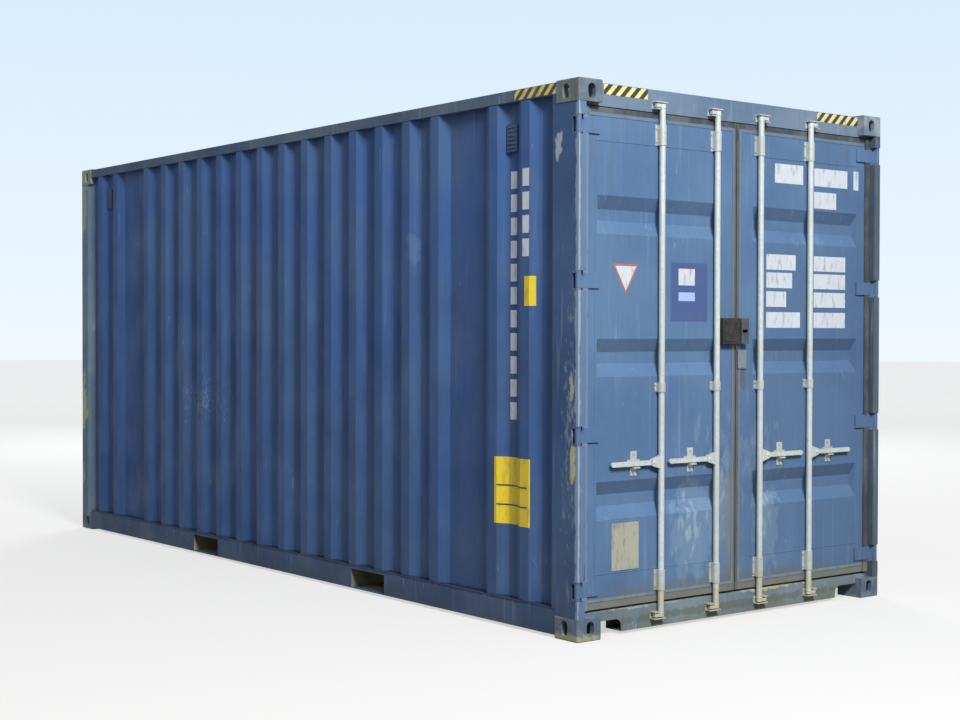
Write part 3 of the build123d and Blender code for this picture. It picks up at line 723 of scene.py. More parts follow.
@dataclass
class Finishes:
    """Every finish of the container, each built once."""

    made: dict[str, bpy.types.Material] = field(default_factory=dict)

    def get(self, finish: Finish) -> bpy.types.Material:
        """Builds a finish the first time and returns its material.

        Args:
            finish: the finish.

        Returns:
            Its material.
        """
        if finish.name not in self.made:
            self.made[finish.name] = finish.build()
        return self.made[finish.name]


@dataclass
class PieceGroup:
    """A group of pieces that are made here, with the finishes that they take."""

    finishes: Finishes

    def add_piece(self, mesh: Mesh, name: str, finish: Finish, body: str, slot: str,
                  smooth: bool = False) -> None:
        """Turns a bmesh into a finished piece that rides on a body.

        Args:
            mesh: the piece's mesh, in the row frame. It is freed.
            name: the piece's name.
            finish: its finish.
            body: the body that it moves with.
            slot: the record's material slot of the piece; not used.
            smooth: whether its faces are shaded smooth.
        """
        bmesh.ops.recalc_face_normals(mesh, faces=mesh.faces)
        data = bpy.data.meshes.new(name)
        mesh.to_mesh(data)
        mesh.free()
        data.materials.append(self.finishes.get(finish))
        if smooth:
            data.polygons.foreach_set("use_smooth", [True] * len(data.polygons))
            data.set_sharp_from_angle(angle=SMOOTH_BELOW)
        piece = bpy.data.objects.new(name, data)
        bpy.context.scene.collection.objects.link(piece)
        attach(piece, body)
        log.info("piece %s: %d faces on %s", name, len(data.polygons), body)


# The finishes, with the marks of this container where they are on it

# painted shade along the joints of the side sheets and their rails
SEAM_SHADE = "#26344C"
# the long sides: faded blue with pale scuffs. Painted shade: the blues are darker and bluer than
# the doors', a dark blue dirt darkens the sheet towards the bottom, and a dark band lies where the
# sheet meets the lower rail
SIDE_PAINT_WITH_SHADE = MarinePaint(
    # the ground and faded blues: the doors' paint with the long side's blue shade painted in
    "side_sheet_paint_with_shade", "#43649B", faded="#4F6D99", streaks=0.14, scratches=0.3, rusting=0.2,
    # a dark blue of the paint as dirt: it colours the rain streaks, and low down it darkens the
    # sheet towards the bottom as painted shade
    dirt="#2F3F5B", grime_and_shade=0.42, grime_and_shade_top=2.3,
    marks=(
        stain((1.56, -1.2, 2.09), (0.06, 0.2, 0.13), "#718EAF", 0.35),
        stain((-1.42, -1.2, 1.55), (0.012, 0.2, 0.2), "#99AEC6", 0.5, 25),
        speckle((-1.0, -1.2, 1.1), (1.2, 0.2, 0.5), "#97ADC4", 0.35, 12),
        band(0.158, 0.014, SEAM_SHADE, 0.8),
    ),
)
VENT_PAINT = MarinePaint("vent_paint", "#405874", faded="#506A84", streaks=0.3, scratches=0.2)
# the weld beads' paint: the same dark, painted shade along the joint of sheet and rail
SEAM_SHADE_PAINT = MarinePaint("seam_shade_paint", SEAM_SHADE, faded="#33425A", streaks=0.3, rusting=0.6)
# the near rear post: pale along its corner edge, partly rubbed paint and partly a painted
# highlight, yellow primer showing at waist height
FRAME_PAINT = MarinePaint(
    "frame_paint", "#38547F", faded="#4B678D", streaks=0.35, rusting=0.7, scratches=0.8,
    marks=(
        stain((2.87, -1.216, 2.56), (0.035, 0.03, 0.09), "#B7C3CD", 0.85, 30),
        stain((2.985, -1.216, 0.93), (0.03, 0.03, 0.15), "#D6CC95", 0.9, 30),
        stain((2.975, -1.216, 1.31), (0.02, 0.03, 0.09), "#C8BF91", 0.8, 24),
        speckle((2.95, -1.216, 0.3), (0.1, 0.05, 0.25), "#97A5B1", 0.5, 40),
        stain((3.026, -1.19, 1.7), (0.02, 0.06, 4.0), "#6E87A6", 0.6, 60),
        # pale down the whole corner edge: rubbed paint, and a painted highlight of the edge
        stain((3.026, -1.216, 1.5), (0.03, 0.016, 4.0), "#A9BDCD", 0.6, 60),
        speckle((2.97, -1.216, 1.1), (0.2, 0.1, 1.6), "#A6B5C2", 0.5, 20),
    ),
)
SHADED_POST_PAINT = MarinePaint(
    "shaded_post_paint", "#4B5967", faded="#5F6D7B", streaks=0.5, rusting=1.0, scratches=0.5,
    dirt="#353029",
)
# the front posts: greyed blue with large worn patches of a pale yellow-green
FRONT_POST_PAINT = MarinePaint(
    "front_post_paint", "#6D879F", faded="#8EA1AF", streaks=0.4, rusting=0.8, scratches=0.8,
    marks=(
        stain((-3.0, -1.2, 1.02), (0.08, 0.08, 0.28), "#C8CDA8", 0.85, 60),
        stain((-3.0, -1.2, 2.6), (0.08, 0.08, 0.3), "#B4BD9B", 0.8, 60),
        stain((-3.02, -1.2, 0.45), (0.05, 0.06, 0.16), "#C1C6A3", 0.7, 40),
        stain((-3.02, -1.2, 1.75), (0.04, 0.06, 0.4), "#97A69C", 0.6, 50),
    ),
)
RAIL_PAINT = MarinePaint(
    "rail_paint", "#4A5F7A", faded="#65788B", streaks=0.3, rusting=0.6, scratches=0.5, grime_and_shade=0.6,
    grime_and_shade_top=0.2,
)
# the lower rails: the dark band along their top edge, under the sheet, is painted shade
LOW_RAIL_PAINT = MarinePaint(
    "low_rail_paint", "#3F5576", faded="#516686", dirt="#464D55", streaks=0.4, rusting=0.8,
    scratches=0.7, grime_and_shade=0.5, grime_and_shade_top=0.12, marks=(band(0.157, 0.016, SEAM_SHADE, 0.8),),
)
# the doors: the right leaf duller, pale scuffs low down, dirt along the foot and at the gasket
DOOR_PAINT = MarinePaint(
    "door_paint", "#547197", faded="#5F7D9F", streaks=0.22, rusting=0.35, scratches=0.45,
    grime_and_shade=0.35, grime_and_shade_top=0.35,
    marks=(
        stain((2.985, 0.85, 1.3), (0.5, 1.1, 2.2), "#44597A", 0.3, 400),
        stain((2.985, -0.34, 0.5), (0.3, 0.24, 0.36), "#8AA3B8", 0.35, 80),
        stain((2.985, -0.1, 0.62), (0.3, 0.12, 0.3), "#8598A6", 0.35, 60),
        stain((2.985, 0.27, 0.5), (0.3, 0.12, 0.34), "#8AA3B8", 0.3, 70),
        speckle((2.985, -0.36, 0.56), (0.3, 0.3, 0.6), "#BACBD8", 0.45, 30),
        speckle((2.985, -0.12, 0.75), (0.3, 0.22, 0.7), "#A9BAC6", 0.4, 26),
        speckle((2.985, 0.24, 0.6), (0.3, 0.24, 0.6), "#B0C2D0", 0.35, 30),
        speckle((2.985, 0.0, 0.9), (0.3, 1.2, 1.0), "#98A9B4", 0.25, 48),
        stain((2.985, -0.055, 0.55), (0.2, 0.05, 0.5), "#7F7560", 0.4, 40),
        stain((2.985, 0.0, 0.22), (0.2, 1.2, 0.045), "#6F6A58", 0.4, 60),
        stain((2.985, 0.045, 1.36), (0.2, 0.05, 0.12), "#5F5953", 0.6, 30),
    ),
)
HEADER_PAINT = MarinePaint(
    "header_paint", "#5E748C", faded="#74869B", streaks=0.3, rusting=0.5, scratches=0.8,
)
HINGE_PAINT = MarinePaint(
    "hinge_paint", "#4A617C", faded="#6B7E8E", streaks=0.4, rusting=1.0, scratches=0.8,
)
# the sill: worn pale along its top edge, muddy below
SILL_PAINT = MarinePaint(
    "sill_paint", "#647B93", faded="#82929C", dirt="#6F6E58", streaks=0.5, rusting=0.9,
    scratches=1.0, grime_and_shade=0.7, grime_and_shade_top=0.2,
    marks=(
        stain((2.95, 0.3, 0.15), (0.2, 0.35, 0.03), "#C9C5A0", 0.75, 40),
        stain((2.95, -0.75, 0.15), (0.2, 0.4, 0.03), "#A9B4AE", 0.7, 40),
        stain((2.95, 0.0, 0.07), (0.2, 1.3, 0.03), "#5A6252", 0.55, 50),
    ),
)
ROOF_PAINT = MarinePaint(
    "roof_paint", "#5978A3", faded="#7E98B4", streaks=0.0, rusting=0.6, grime_and_shade=0.0,
    marks=(Coat("#A37E5B", Pattern(260, 0.6, 0.8, 0.5, way=(1, 3, 1), detail=6, shift=15.0)),),
)
# dull zinc of the bars, dirtier on the small fittings
ZINC = ZincCoat("galvanised_bars")
ZINC_HARDWARE = ZincCoat("galvanised_fittings", "#C3C9C5", dull="#A3A9A6", wear=0.6)
STRIP_ZINC = ZincCoat(
    "gasket_strips", "#6E8091", dull="#5E7080", drip="#5F5A4C", wear=1.0, splash=0.15,
)
PLATE_ZINC = ZincCoat("lock_seal_plate", "#838D99", dull="#6D7176", drip="#5D5140", wear=1.0)
# the castings: greenish where the front one is worn, darker near the ground, mud at the foot
CASTING = WornCastSteel(
    "cast_steel", "#67798B",
    marks=(
        stain((-3.0, -1.2, 2.87), (0.2, 0.14, 0.16), "#AEBB98", 0.85, 40),
        band(0.07, 0.07, "#44556A", 0.65),
        stain((2.95, -1.2, 0.01), (0.2, 0.2, 0.035), "#A6A379", 0.8, 30),
        stain((3.03, -1.13, 2.84), (0.06, 0.2, 0.12), "#4C5A66", 0.6, 50),
        stain((2.94, -1.22, 2.84), (0.14, 0.03, 0.12), "#626454", 0.6, 40),
    ),
)
# the seal: mud on its foot, dirt where the leaves meet, its hinge edge painted over
RUBBER = SealRubber(
    "door_seal_rubber", "#3D4145",
    marks=(
        stain((3.0, 0.0, 0.165), (0.3, 4.0, 0.05), "#7E8071", 0.75, 50),
        stain((2.99, 0.0, 1.4), (0.05, 0.03, 4.0), "#666259", 0.7, 50),
        stain((3.0, -1.14, 1.4), (0.06, 0.05, 4.0), "#7288A5", 0.85, 50),
    ),
)
PLYWOOD = FloorPlywood("floor_plywood", "#846241")
UNDERSEAL = Underseal("bitumen_underseal", "#2F3133")
POCKET_DUST = Underseal("dusty_fork_pocket", "#7A7663", dust="#A8A38C")
RUST = RustedSteel("lock_cover_rust", "#201D1C")
WORN_COVER = RustedSteel("lock_cover_worn_paint", "#4D565F", scale="#40454A", bloom="#5C544B")

# blank films: white marks, caution yellow, striped tape, small blue and red ones
STRIPE_MM = 34.0
WHITE_FILM = VinylFilm("white_marks", "#D2D9E1", second="#BEC8D3", dirt=0.45)
SIDE_WHITE_FILM = VinylFilm("side_white_marks", "#E3E9F4", second="#D3DBE8", dirt=0.3)
YELLOW_FILM = VinylFilm("yellow_film", "#F3D530", second="#E6CE50", dirt=0.3)
DARK_LINES = VinylFilm("dark_film_lines", "#2A2A22", second="#38362A", dirt=0.2)
RAIL_STRIPES = VinylFilm(
    "rail_stripes", "#E6CF6C", second="#33332C", stripe_mm=STRIPE_MM, way=(1.0, 0.0, -1.0),
    dirt=0.5,
)
HEADER_STRIPES = VinylFilm(
    "header_stripes", "#E4D98F", second="#33332C", stripe_mm=STRIPE_MM, dirt=0.5,
)
BLUE_FILM = VinylFilm("dark_blue_film", "#415789", second="#485F90", dirt=0.2)
PALE_BLUE_FILM = VinylFilm("pale_blue_film", "#A9C1FC", second="#97AFEC", dirt=0.2)
RED_FILM = VinylFilm("red_film", "#B66B60", second="#A35D56")
BARE_PLATE = VinylFilm("bare_plate", "#ABAC9B", second="#93968A", dirt=0.5, roughness=0.6)

# The first part of a name that fits says the node's finish
FINISH_OF: tuple[tuple[str, Finish], ...] = (
    ("corner_castings", CASTING),
    ("corner_post_front", FRONT_POST_PAINT),
    ("corner_post_rear_right", SHADED_POST_PAINT),
    ("corner_post_rear", FRAME_PAINT),
    ("bottom_side_rail", LOW_RAIL_PAINT),
    ("side_rail", RAIL_PAINT),
    ("side_wall", SIDE_PAINT_WITH_SHADE),
    ("front_wall", SIDE_PAINT_WITH_SHADE),
    ("front_", RAIL_PAINT),
    ("fork_pocket", POCKET_DUST),
    ("door_sill", SILL_PAINT),
    ("door_header", HEADER_PAINT),
    ("_gasket", RUBBER),
    ("_bar_brackets", ZINC_HARDWARE),
    ("_handle_catches", ZINC_HARDWARE),
    ("cam_keepers", ZINC_HARDWARE),
    ("hinge_lugs", HINGE_PAINT),
    ("lock_box_right", WORN_COVER),
    ("lock_box", RUST),
    ("door_", DOOR_PAINT),
    ("locking_bar", ZINC),
    ("handle_", ZINC),
    ("roof", ROOF_PAINT),
    ("vents", VENT_PAINT),
    ("floor", PLYWOOD),
    ("cross_members", UNDERSEAL),
)


# The container's parts


@dataclass
class Bodywork:
    """Dresses the construction's own nodes, each with the finish of what it is."""

    finishes: Finishes

    def dress(self) -> None:
        """Gives every node its finish."""
        for name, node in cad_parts.items():
            finish = next(finish for part, finish in FINISH_OF if part in name)
            material = self.finishes.get(finish)
            node.data.materials.clear()
            node.data.materials.append(material)
            log.info("node %s: %s", name, material.name)


@dataclass
class SideFilms(PieceGroup):
    """Films on the long sides: caution films, plain white marks, stripes on the top rail."""

    yellow_panels: tuple[Rect, ...] = (
        (2.342, 2.641, 0.555, 0.918),
        (2.594, 2.670, 1.733, 1.892),
    )
    line_panels: tuple[Rect, ...] = (
        (2.362, 2.621, 0.760, 0.768),
        (2.362, 2.621, 0.655, 0.663),
    )
    columns: tuple[tuple[float, float, int], ...] = ((2.4635, 2.460, 11), (2.605, 2.464, 4))
    mark_width: float = 0.054
    mark_height: float = 0.094
    mark_pitch: float = 0.1245
    stripes_x: Pair = (2.507, 2.849)

    def outline(self, side: str) -> Line:
        """Reads the outer line of a side sheet from its node.

        Args:
            side: left or right.

        Returns:
            Points (x, y) along the length, outermost at each place.
        """
        name = f"side_wall_{side}"
        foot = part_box(name)[0][2]
        outer: dict[float, float] = {}
        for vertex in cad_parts[name].data.vertices:
            if abs(vertex.co.z - foot) < SAME_PLACE:
                x = round(vertex.co.x, 4)
                outer[x] = max(outer.get(x, 0.0), abs(vertex.co.y))
        return [(x, SIDES[side] * outer[x]) for x in sorted(outer)]

    def depth_at(self, line: Line, x: float) -> float:
        """The sheet's outer y at one x, between the outline's points.

        Args:
            line: the outline.
            x: the place along the length.

        Returns:
            The y there.
        """
        for (x0, y0), (x1, y1) in zip(line, line[1:]):
            if x0 <= x <= x1:
                return y0 + (y1 - y0) * (x - x0) / (x1 - x0)
        return line[-1][1]

    def follow(self, mesh: Mesh, line: Line, panel: Rect, lift: float) -> None:
        """Adds a thin film that follows the pressed sheet.

        Args:
            mesh: the mesh that gets it.
            line: the sheet's outline.
            panel: its ends along the length, then its lower and upper edge.
            lift: how far it stands off the sheet.
        """
        x_low, x_high, z_low, z_high = panel
        inner = [point for point in line if x_low < point[0] < x_high]
        path = [(x_low, self.depth_at(line, x_low)), *inner, (x_high, self.depth_at(line, x_high))]
        verts = [mesh.verts.new((x, y + math.copysign(lift, y), z_low)) for x, y in path]
        edges = [mesh.edges.new(pair) for pair in zip(verts, verts[1:])]
        grown = bmesh.ops.extrude_edge_only(mesh, edges=edges)["geom"]
        top = [part for part in grown if isinstance(part, bmesh.types.BMVert)]
        bmesh.ops.translate(mesh, verts=top, vec=(0, 0, z_high - z_low))
        faces = [part for part in grown if isinstance(part, bmesh.types.BMFace)]
        bmesh.ops.solidify(mesh, geom=faces, thickness=FILM_THICK / 2)

    def mark_panels(self) -> tuple[Rect, ...]:
        """The blank marks, column by column from the top.

        Returns:
            Each mark's ends along the length, then its lower and upper edge.
        """
        half = self.mark_width / 2
        tops = [
            (x, top - self.mark_pitch * i) for x, top, count in self.columns for i in range(count)
        ]
        return tuple((x - half, x + half, z - self.mark_height, z) for x, z in tops)

    def build_side(self, side: str, sign: int) -> None:
        """Makes the films of one side.

        Args:
            side: left or right.
            sign: -1 for the left side and 1 for the right.
        """
        line = self.outline(side)
        for name, finish, panels, layers in (
            ("side_films", YELLOW_FILM, self.yellow_panels, 1),
            ("side_film_lines", DARK_LINES, self.line_panels, 2),
            ("side_marks", SIDE_WHITE_FILM, self.mark_panels(), 1),
        ):
            mesh = bmesh.new()
            for panel in panels:
                self.follow(mesh, line, panel, layers * FILM_THICK)
            self.add_piece(mesh, f"{name}_{side}", finish, ROOT, "side_paint")
        mesh = bmesh.new()
        low, high = zip(self.stripes_x, span(sign, FRAME_Y, FRAME_Y + FILM_THICK), STRIPES_Z)
        add_block(mesh, low, high)
        self.add_piece(mesh, f"rail_stripes_{side}", RAIL_STRIPES, ROOT, "frame_paint")

    def build(self) -> None:
        """Makes the films of both sides."""
        for side, sign in SIDES.items():
            self.build_side(side, sign)


@dataclass
class DoorFilms(PieceGroup):
    """Films and plates on the door end, every one blank."""

    stripe_spans: tuple[Pair, ...] = ((-1.006, -0.690), (0.682, 1.052))
    square: Rect = (-0.512, -0.232, 1.655, 1.972)
    square_label: Rect = (-0.455, -0.330, 1.850, 1.940)
    square_spot: Rect = (-0.455, -0.330, 1.765, 1.812)
    marks: tuple[Rect, ...] = (
        (0.318, 0.561, 2.452, 2.562),
        (0.660, 0.960, 2.452, 2.556),
        (1.018, 1.064, 2.448, 2.560),
        (0.660, 0.858, 2.322, 2.418),
        (0.250, 0.500, 1.954, 2.042),
        (0.250, 0.470, 1.850, 1.938),
        (0.250, 0.419, 1.742, 1.830),
        (0.250, 0.540, 1.622, 1.712),
        (0.660, 0.945, 1.954, 2.042),
        (0.660, 0.945, 1.850, 1.938),
        (0.660, 0.945, 1.742, 1.830),
        (0.660, 0.945, 1.622, 1.712),
    )
    triangle_centre: Pair = (-0.8465, 1.8995)
    triangle_radius: float = 0.108
    triangle_face: float = 0.8
    triangle_lifts: Pair = (0.0006, 0.0012)
    plate: Rect = (-0.943, -0.748, 0.341, 0.590)
    plate_thick: float = 0.003
    rivet_inset: float = 0.013
    rivet: Head = (0.005, 0.003)

    def panels(self, name: str, finish: VinylFilm, body: str, rects: tuple[Rect, ...],
               lift: float = 0.0) -> None:
        """Makes one piece of flat rectangles on the skin of a leaf.

        Args:
            name: the piece's name.
            finish: the film.
            body: the leaf or the container.
            rects: each rectangle's ends across the doors, then its lower and upper edge.
            lift: how far behind them another film lies.
        """
        mesh = bmesh.new()
        back = SKIN_X + lift
        for y_low, y_high, z_low, z_high in rects:
            add_block(mesh, (back, y_low, z_low), (back + FILM_THICK, y_high, z_high))
        self.add_piece(mesh, name, finish, body, "door_paint")

    def triangle(self, name: str, finish: VinylFilm, share: float, lift: float) -> None:
        """Makes a flat triangle with its tip down.

        Args:
            name: the piece's name.
            finish: its film.
            share: its size against the outer one.
            lift: how far it stands off the skin.
        """
        mesh = bmesh.new()
        turn = Matrix.Rotation(math.pi / 2, 4, "Y") @ Matrix.Rotation(-math.pi / 2, 4, "Z")
        place = Matrix.Translation((SKIN_X + lift, *self.triangle_centre)) @ turn
        radius = self.triangle_radius * share
        bmesh.ops.create_circle(mesh, cap_ends=True, segments=3, radius=radius, matrix=place)
        bmesh.ops.solidify(mesh, geom=mesh.faces[:], thickness=FILM_THICK / 2)
        self.add_piece(mesh, name, finish, "door_left", "door_paint")

    def riveted_plate(self) -> None:
        """Makes the bare plate low on the left leaf, with a rivet in each corner."""
        y_low, y_high, z_low, z_high = self.plate
        face = SKIN_X + self.plate_thick
        mesh = bmesh.new()
        add_block(mesh, (SKIN_X, y_low, z_low), (face, y_high, z_high))
        for y in (y_low + self.rivet_inset, y_high - self.rivet_inset):
            for z in (z_low + self.rivet_inset, z_high - self.rivet_inset):
                add_head(mesh, (face, y, z), OUT_OF_DOOR, self.rivet, ROUND)
        self.add_piece(mesh, "bare_plate", BARE_PLATE, "door_left", "door_paint")

    def build(self) -> None:
        """Makes the films and plates."""
        spans = tuple((low, high, *STRIPES_Z) for low, high in self.stripe_spans)
        self.panels("header_stripes", HEADER_STRIPES, ROOT, spans)
        self.panels("door_square_film", BLUE_FILM, "door_left", (self.square,))
        label, spot = (self.square_label,), (self.square_spot,)
        self.panels("door_square_label", WHITE_FILM, "door_left", label, FILM_THICK)
        self.panels("door_square_spot", PALE_BLUE_FILM, "door_left", spot, FILM_THICK)
        self.panels("door_marks", WHITE_FILM, "door_right", self.marks)
        self.triangle("door_triangle_edge", RED_FILM, 1.0, self.triangle_lifts[0])
        self.triangle("door_triangle_face", WHITE_FILM, self.triangle_face, self.triangle_lifts[1])
        self.riveted_plate()


@dataclass
class DoorFittings(PieceGroup):
    """Small parts of the doors: bolts, gasket strips with rivets, weld beads, the lock's plates."""

    bearing_heights: Triple = (0.267, 1.2994, 2.647)
    bearing_bolts: Triple = (0.035, 0.015, 0.035)
    flange_bolt: float = 0.0285
    flange_thick: float = 0.004
    bearing_head: Head = (0.0065, 0.005)
    catch_offset: float = 0.187
    catch_bolts: tuple[Pair, ...] = ((-0.035, 0), (0.035, 0), (0, 0.052), (0, -0.052))
    catch_head: Head = (0.008, 0.006)
    edge_centre: float = 0.017
    edge_hinge: float = 1.120
    leaf_low: float = 0.185
    leaf_high: float = 2.735
    strip_width: float = 0.016
    strip_thick: float = 0.0025
    strip_inset: float = 0.004
    strip_lap: float = 0.002
    rivet_pitch: float = 0.18
    rivet: Head = (0.0045, 0.002)
    stile: Pair = (0.105, 0.055)
    rung: float = 0.145
    key_plate: Rect = (-0.128, -0.030, 1.545, 1.660)
    key_plate_x: Pair = (0.038, 0.041)
    key_plate_bevel: float = 0.001
    key_rivets: tuple[Pair, ...] = ((-0.118, 1.648), (-0.040, 1.648))
    seal_plate: Rect = (0.008, 0.078, 1.392, 1.496)
    seal_plate_x: Pair = (0.004, 0.010)
    seal_plate_bevel: float = 0.002
    seal_rivets: tuple[Pair, ...] = ((0.043, 1.402), (0.043, 1.486))
    plate_rivet: Head = (0.006, 0.004)

    def bolts(self, side: str, sign: int) -> None:
        """Hexagon heads on the bearings and catches of one leaf.

        Args:
            side: left or right.
            sign: -1 for the left leaf and 1 for the right.
        """
        foot = SKIN_X + self.flange_thick
        mesh = bmesh.new()
        for bar in BAR_Y:
            for height, reach in zip(self.bearing_heights, self.bearing_bolts):
                for dy in (-self.flange_bolt, self.flange_bolt):
                    for dz in (-reach, reach):
                        spot = (foot, sign * (bar + dy), height + dz)
                        add_head(mesh, spot, OUT_OF_DOOR, self.bearing_head)
            for dy, dz in self.catch_bolts:
                spot = (foot, sign * (bar + self.catch_offset) + dy, HANDLE_Z + dz)
                add_head(mesh, spot, OUT_OF_DOOR, self.catch_head)
        self.add_piece(mesh, f"door_{side}_bolts", ZINC_HARDWARE, f"door_{side}", "hardware")

    def strips(self, side: str, sign: int) -> None:
        """Flat strips that clamp the gasket round one leaf, with their rivets.

        Args:
            side: left or right.
            sign: -1 for the left leaf and 1 for the right.
        """
        front = SKIN_X + self.strip_thick
        wide = self.strip_width
        low, high = self.leaf_low + self.strip_inset, self.leaf_high - self.strip_inset
        y_first = self.edge_centre + self.strip_lap
        y_next, y_last = y_first + wide, self.edge_hinge - self.strip_inset
        mesh = bmesh.new()
        for y_near, y_far, z_low, z_high in (
            (y_first, y_next, low, high),
            (y_next, y_last, high - wide, high),
            (y_next, y_last, low, low + wide),
        ):
            y_low, y_high = span(sign, y_near, y_far)
            add_block(mesh, (SKIN_X, y_low, z_low), (front, y_high, z_high))
            long_y, long_z = y_far - y_near, z_high - z_low
            count = round(max(long_y, long_z) / self.rivet_pitch)
            for share in [(i + 0.5) / count for i in range(count)]:
                if long_z > long_y:
                    spot = (front, sign * (y_near + y_far) / 2, z_low + share * long_z)
                else:
                    spot = (front, sign * (y_near + share * long_y), (z_low + z_high) / 2)
                add_head(mesh, spot, OUT_OF_DOOR, self.rivet, ROUND)
        name = f"door_{side}_gasket_strips"
        self.add_piece(mesh, name, STRIP_ZINC, f"door_{side}", "galvanised")

    def beads(self, side: str, sign: int) -> None:
        """The weld bead round the panel of one leaf.

        Args:
            side: left or right.
            sign: -1 for the left leaf and 1 for the right.
        """
        y_near, y_far = self.edge_centre + self.stile[0], self.edge_hinge - self.stile[1]
        z_low, z_high = self.leaf_low + self.rung, self.leaf_high - self.rung
        mesh = bmesh.new()
        across, up = Vector((0, 1, 0)), Vector((0, 0, 1))
        for y in (y_near, y_far):
            bead_along(mesh, (SKIN_X, sign * y, (z_low + z_high) / 2), up, z_high - z_low)
        for z in (z_low, z_high):
            bead_along(mesh, (SKIN_X, sign * (y_near + y_far) / 2, z), across, y_far - y_near)
        name = f"door_{side}_welds"
        self.add_piece(mesh, name, DOOR_PAINT, f"door_{side}", "door_paint", smooth=True)

    def lock_plates(self) -> None:
        """The dark key plate in front of the lock box and the small bare plate below it."""
        for name, finish, body, plate, (x_low, x_high), bevel, rivets in (
            ("lock_box_left_plate", RUST, "door_left", self.key_plate, self.key_plate_x,
             self.key_plate_bevel, self.key_rivets),
            ("lock_seal_plate", PLATE_ZINC, "door_right", self.seal_plate, self.seal_plate_x,
             self.seal_plate_bevel, self.seal_rivets),
        ):
            y_low, y_high, z_low, z_high = plate
            mesh = bmesh.new()
            face = SKIN_X + x_high
            add_block(mesh, (SKIN_X + x_low, y_low, z_low), (face, y_high, z_high), bevel)
            for y, z in rivets:
                add_head(mesh, (face, y, z), OUT_OF_DOOR, self.plate_rivet, ROUND)
            self.add_piece(mesh, name, finish, body, "lock_paint")

    def build(self) -> None:
        """Makes the small parts of both leaves."""
        for side, sign in SIDES.items():
            self.bolts(side, sign)
            self.strips(side, sign)
            self.beads(side, sign)
        self.lock_plates()


@dataclass
class BarFittings(PieceGroup):
    """What the locking bars carry: pin heads at the handles and weld beads at the cams."""

    bar_x: float = 3.0065
    pivot: float = 0.060
    cheek: float = 0.011
    pin_head: Head = (0.010, 0.006)
    pin_sides: int = 12
    weld_heights: Pair = (0.092, 2.790)
    weld_radii: Pair = (0.0205, 0.0195)
    weld_tall: float = 0.003
    weld_sides: int = 20

    def build(self) -> None:
        """Makes the pin heads and beads of the four bars."""
        places = sorted(sign * y for sign in SIDES.values() for y in BAR_Y)
        for number, y in enumerate(places, start=1):
            mesh = bmesh.new()
            pin = (self.bar_x + self.cheek, y + math.copysign(self.pivot, y), HANDLE_Z)
            add_head(mesh, pin, OUT_OF_DOOR, self.pin_head, self.pin_sides)
            for z in self.weld_heights:
                bmesh.ops.create_cone(
                    mesh, cap_ends=True, segments=self.weld_sides, radius1=self.weld_radii[0],
                    radius2=self.weld_radii[1], depth=self.weld_tall,
                    matrix=Matrix.Translation((self.bar_x, y, z)),
                )
            name, body = f"bar_{number}_fittings", f"bar_{number}"
            self.add_piece(mesh, name, ZINC, body, "galvanised", smooth=True)


@dataclass
class SideFittings(PieceGroup):
    """Small parts of the long sides: slits in the vent covers, weld beads along the rails."""

    vent_x: Pair = (-2.5475, 2.4615)
    vent_low: float = 2.564
    vent_face: float = 1.196
    slits: int = 6
    slit_first: float = 0.018
    slit_pitch: float = 0.022
    slit_half: float = 0.034
    slit_tall: float = 0.006
    slit_out: float = 0.003
    slit_bevel: float = 0.0012
    rivet_heights: Pair = (0.006, 0.144)
    rivet: Head = (0.004, 0.003)
    weld_heights: Pair = (0.157, 2.826)
    weld_middle: float = -0.014
    weld_length: float = 5.67
    weld_sunk: float = 0.001

    def louvres(self, side: str, sign: int) -> None:
        """The slits and rivets on the vent covers of one side.

        Args:
            side: left or right.
            sign: -1 for the left side and 1 for the right.
        """
        y_low, y_high = span(sign, self.vent_face, self.vent_face + self.slit_out)
        mesh = bmesh.new()
        for x in self.vent_x:
            for i in range(self.slits):
                z = self.vent_low + self.slit_first + i * self.slit_pitch
                low = (x - self.slit_half, y_low, z)
                high = (x + self.slit_half, y_high, z + self.slit_tall)
                add_block(mesh, low, high, self.slit_bevel)
            for height in self.rivet_heights:
                spot = (x, sign * self.vent_face, self.vent_low + height)
                add_head(mesh, spot, Vector((0, sign, 0)), self.rivet, ROUND)
        self.add_piece(mesh, f"vent_louvres_{side}", VENT_PAINT, ROOT, "vent_cover")

    def welds(self, side: str, sign: int) -> None:
        """The weld beads between the sheet of one side and its rails.

        Args:
            side: left or right.
            sign: -1 for the left side and 1 for the right.
        """
        mesh = bmesh.new()
        for z in self.weld_heights:
            middle = (self.weld_middle, sign * (FRAME_Y - self.weld_sunk), z)
            bead_along(mesh, middle, Vector((1, 0, 0)), self.weld_length)
        name = f"rail_welds_{side}"
        # the beads take the dark joint paint: painted shade along the joint of sheet and rail
        self.add_piece(mesh, name, SEAM_SHADE_PAINT, ROOT, "frame_paint", smooth=True)

    def build(self) -> None:
        """Makes the parts of both sides."""
        for side, sign in SIDES.items():
            self.louvres(side, sign)
            self.welds(side, sign)


@dataclass(frozen=True)
class Lamp:
    """A square soft lamp: where it hangs and points, its size in metres, its power in watts."""

    name: str
    spot: Triple
    target: Triple
    size: float
    watts: float


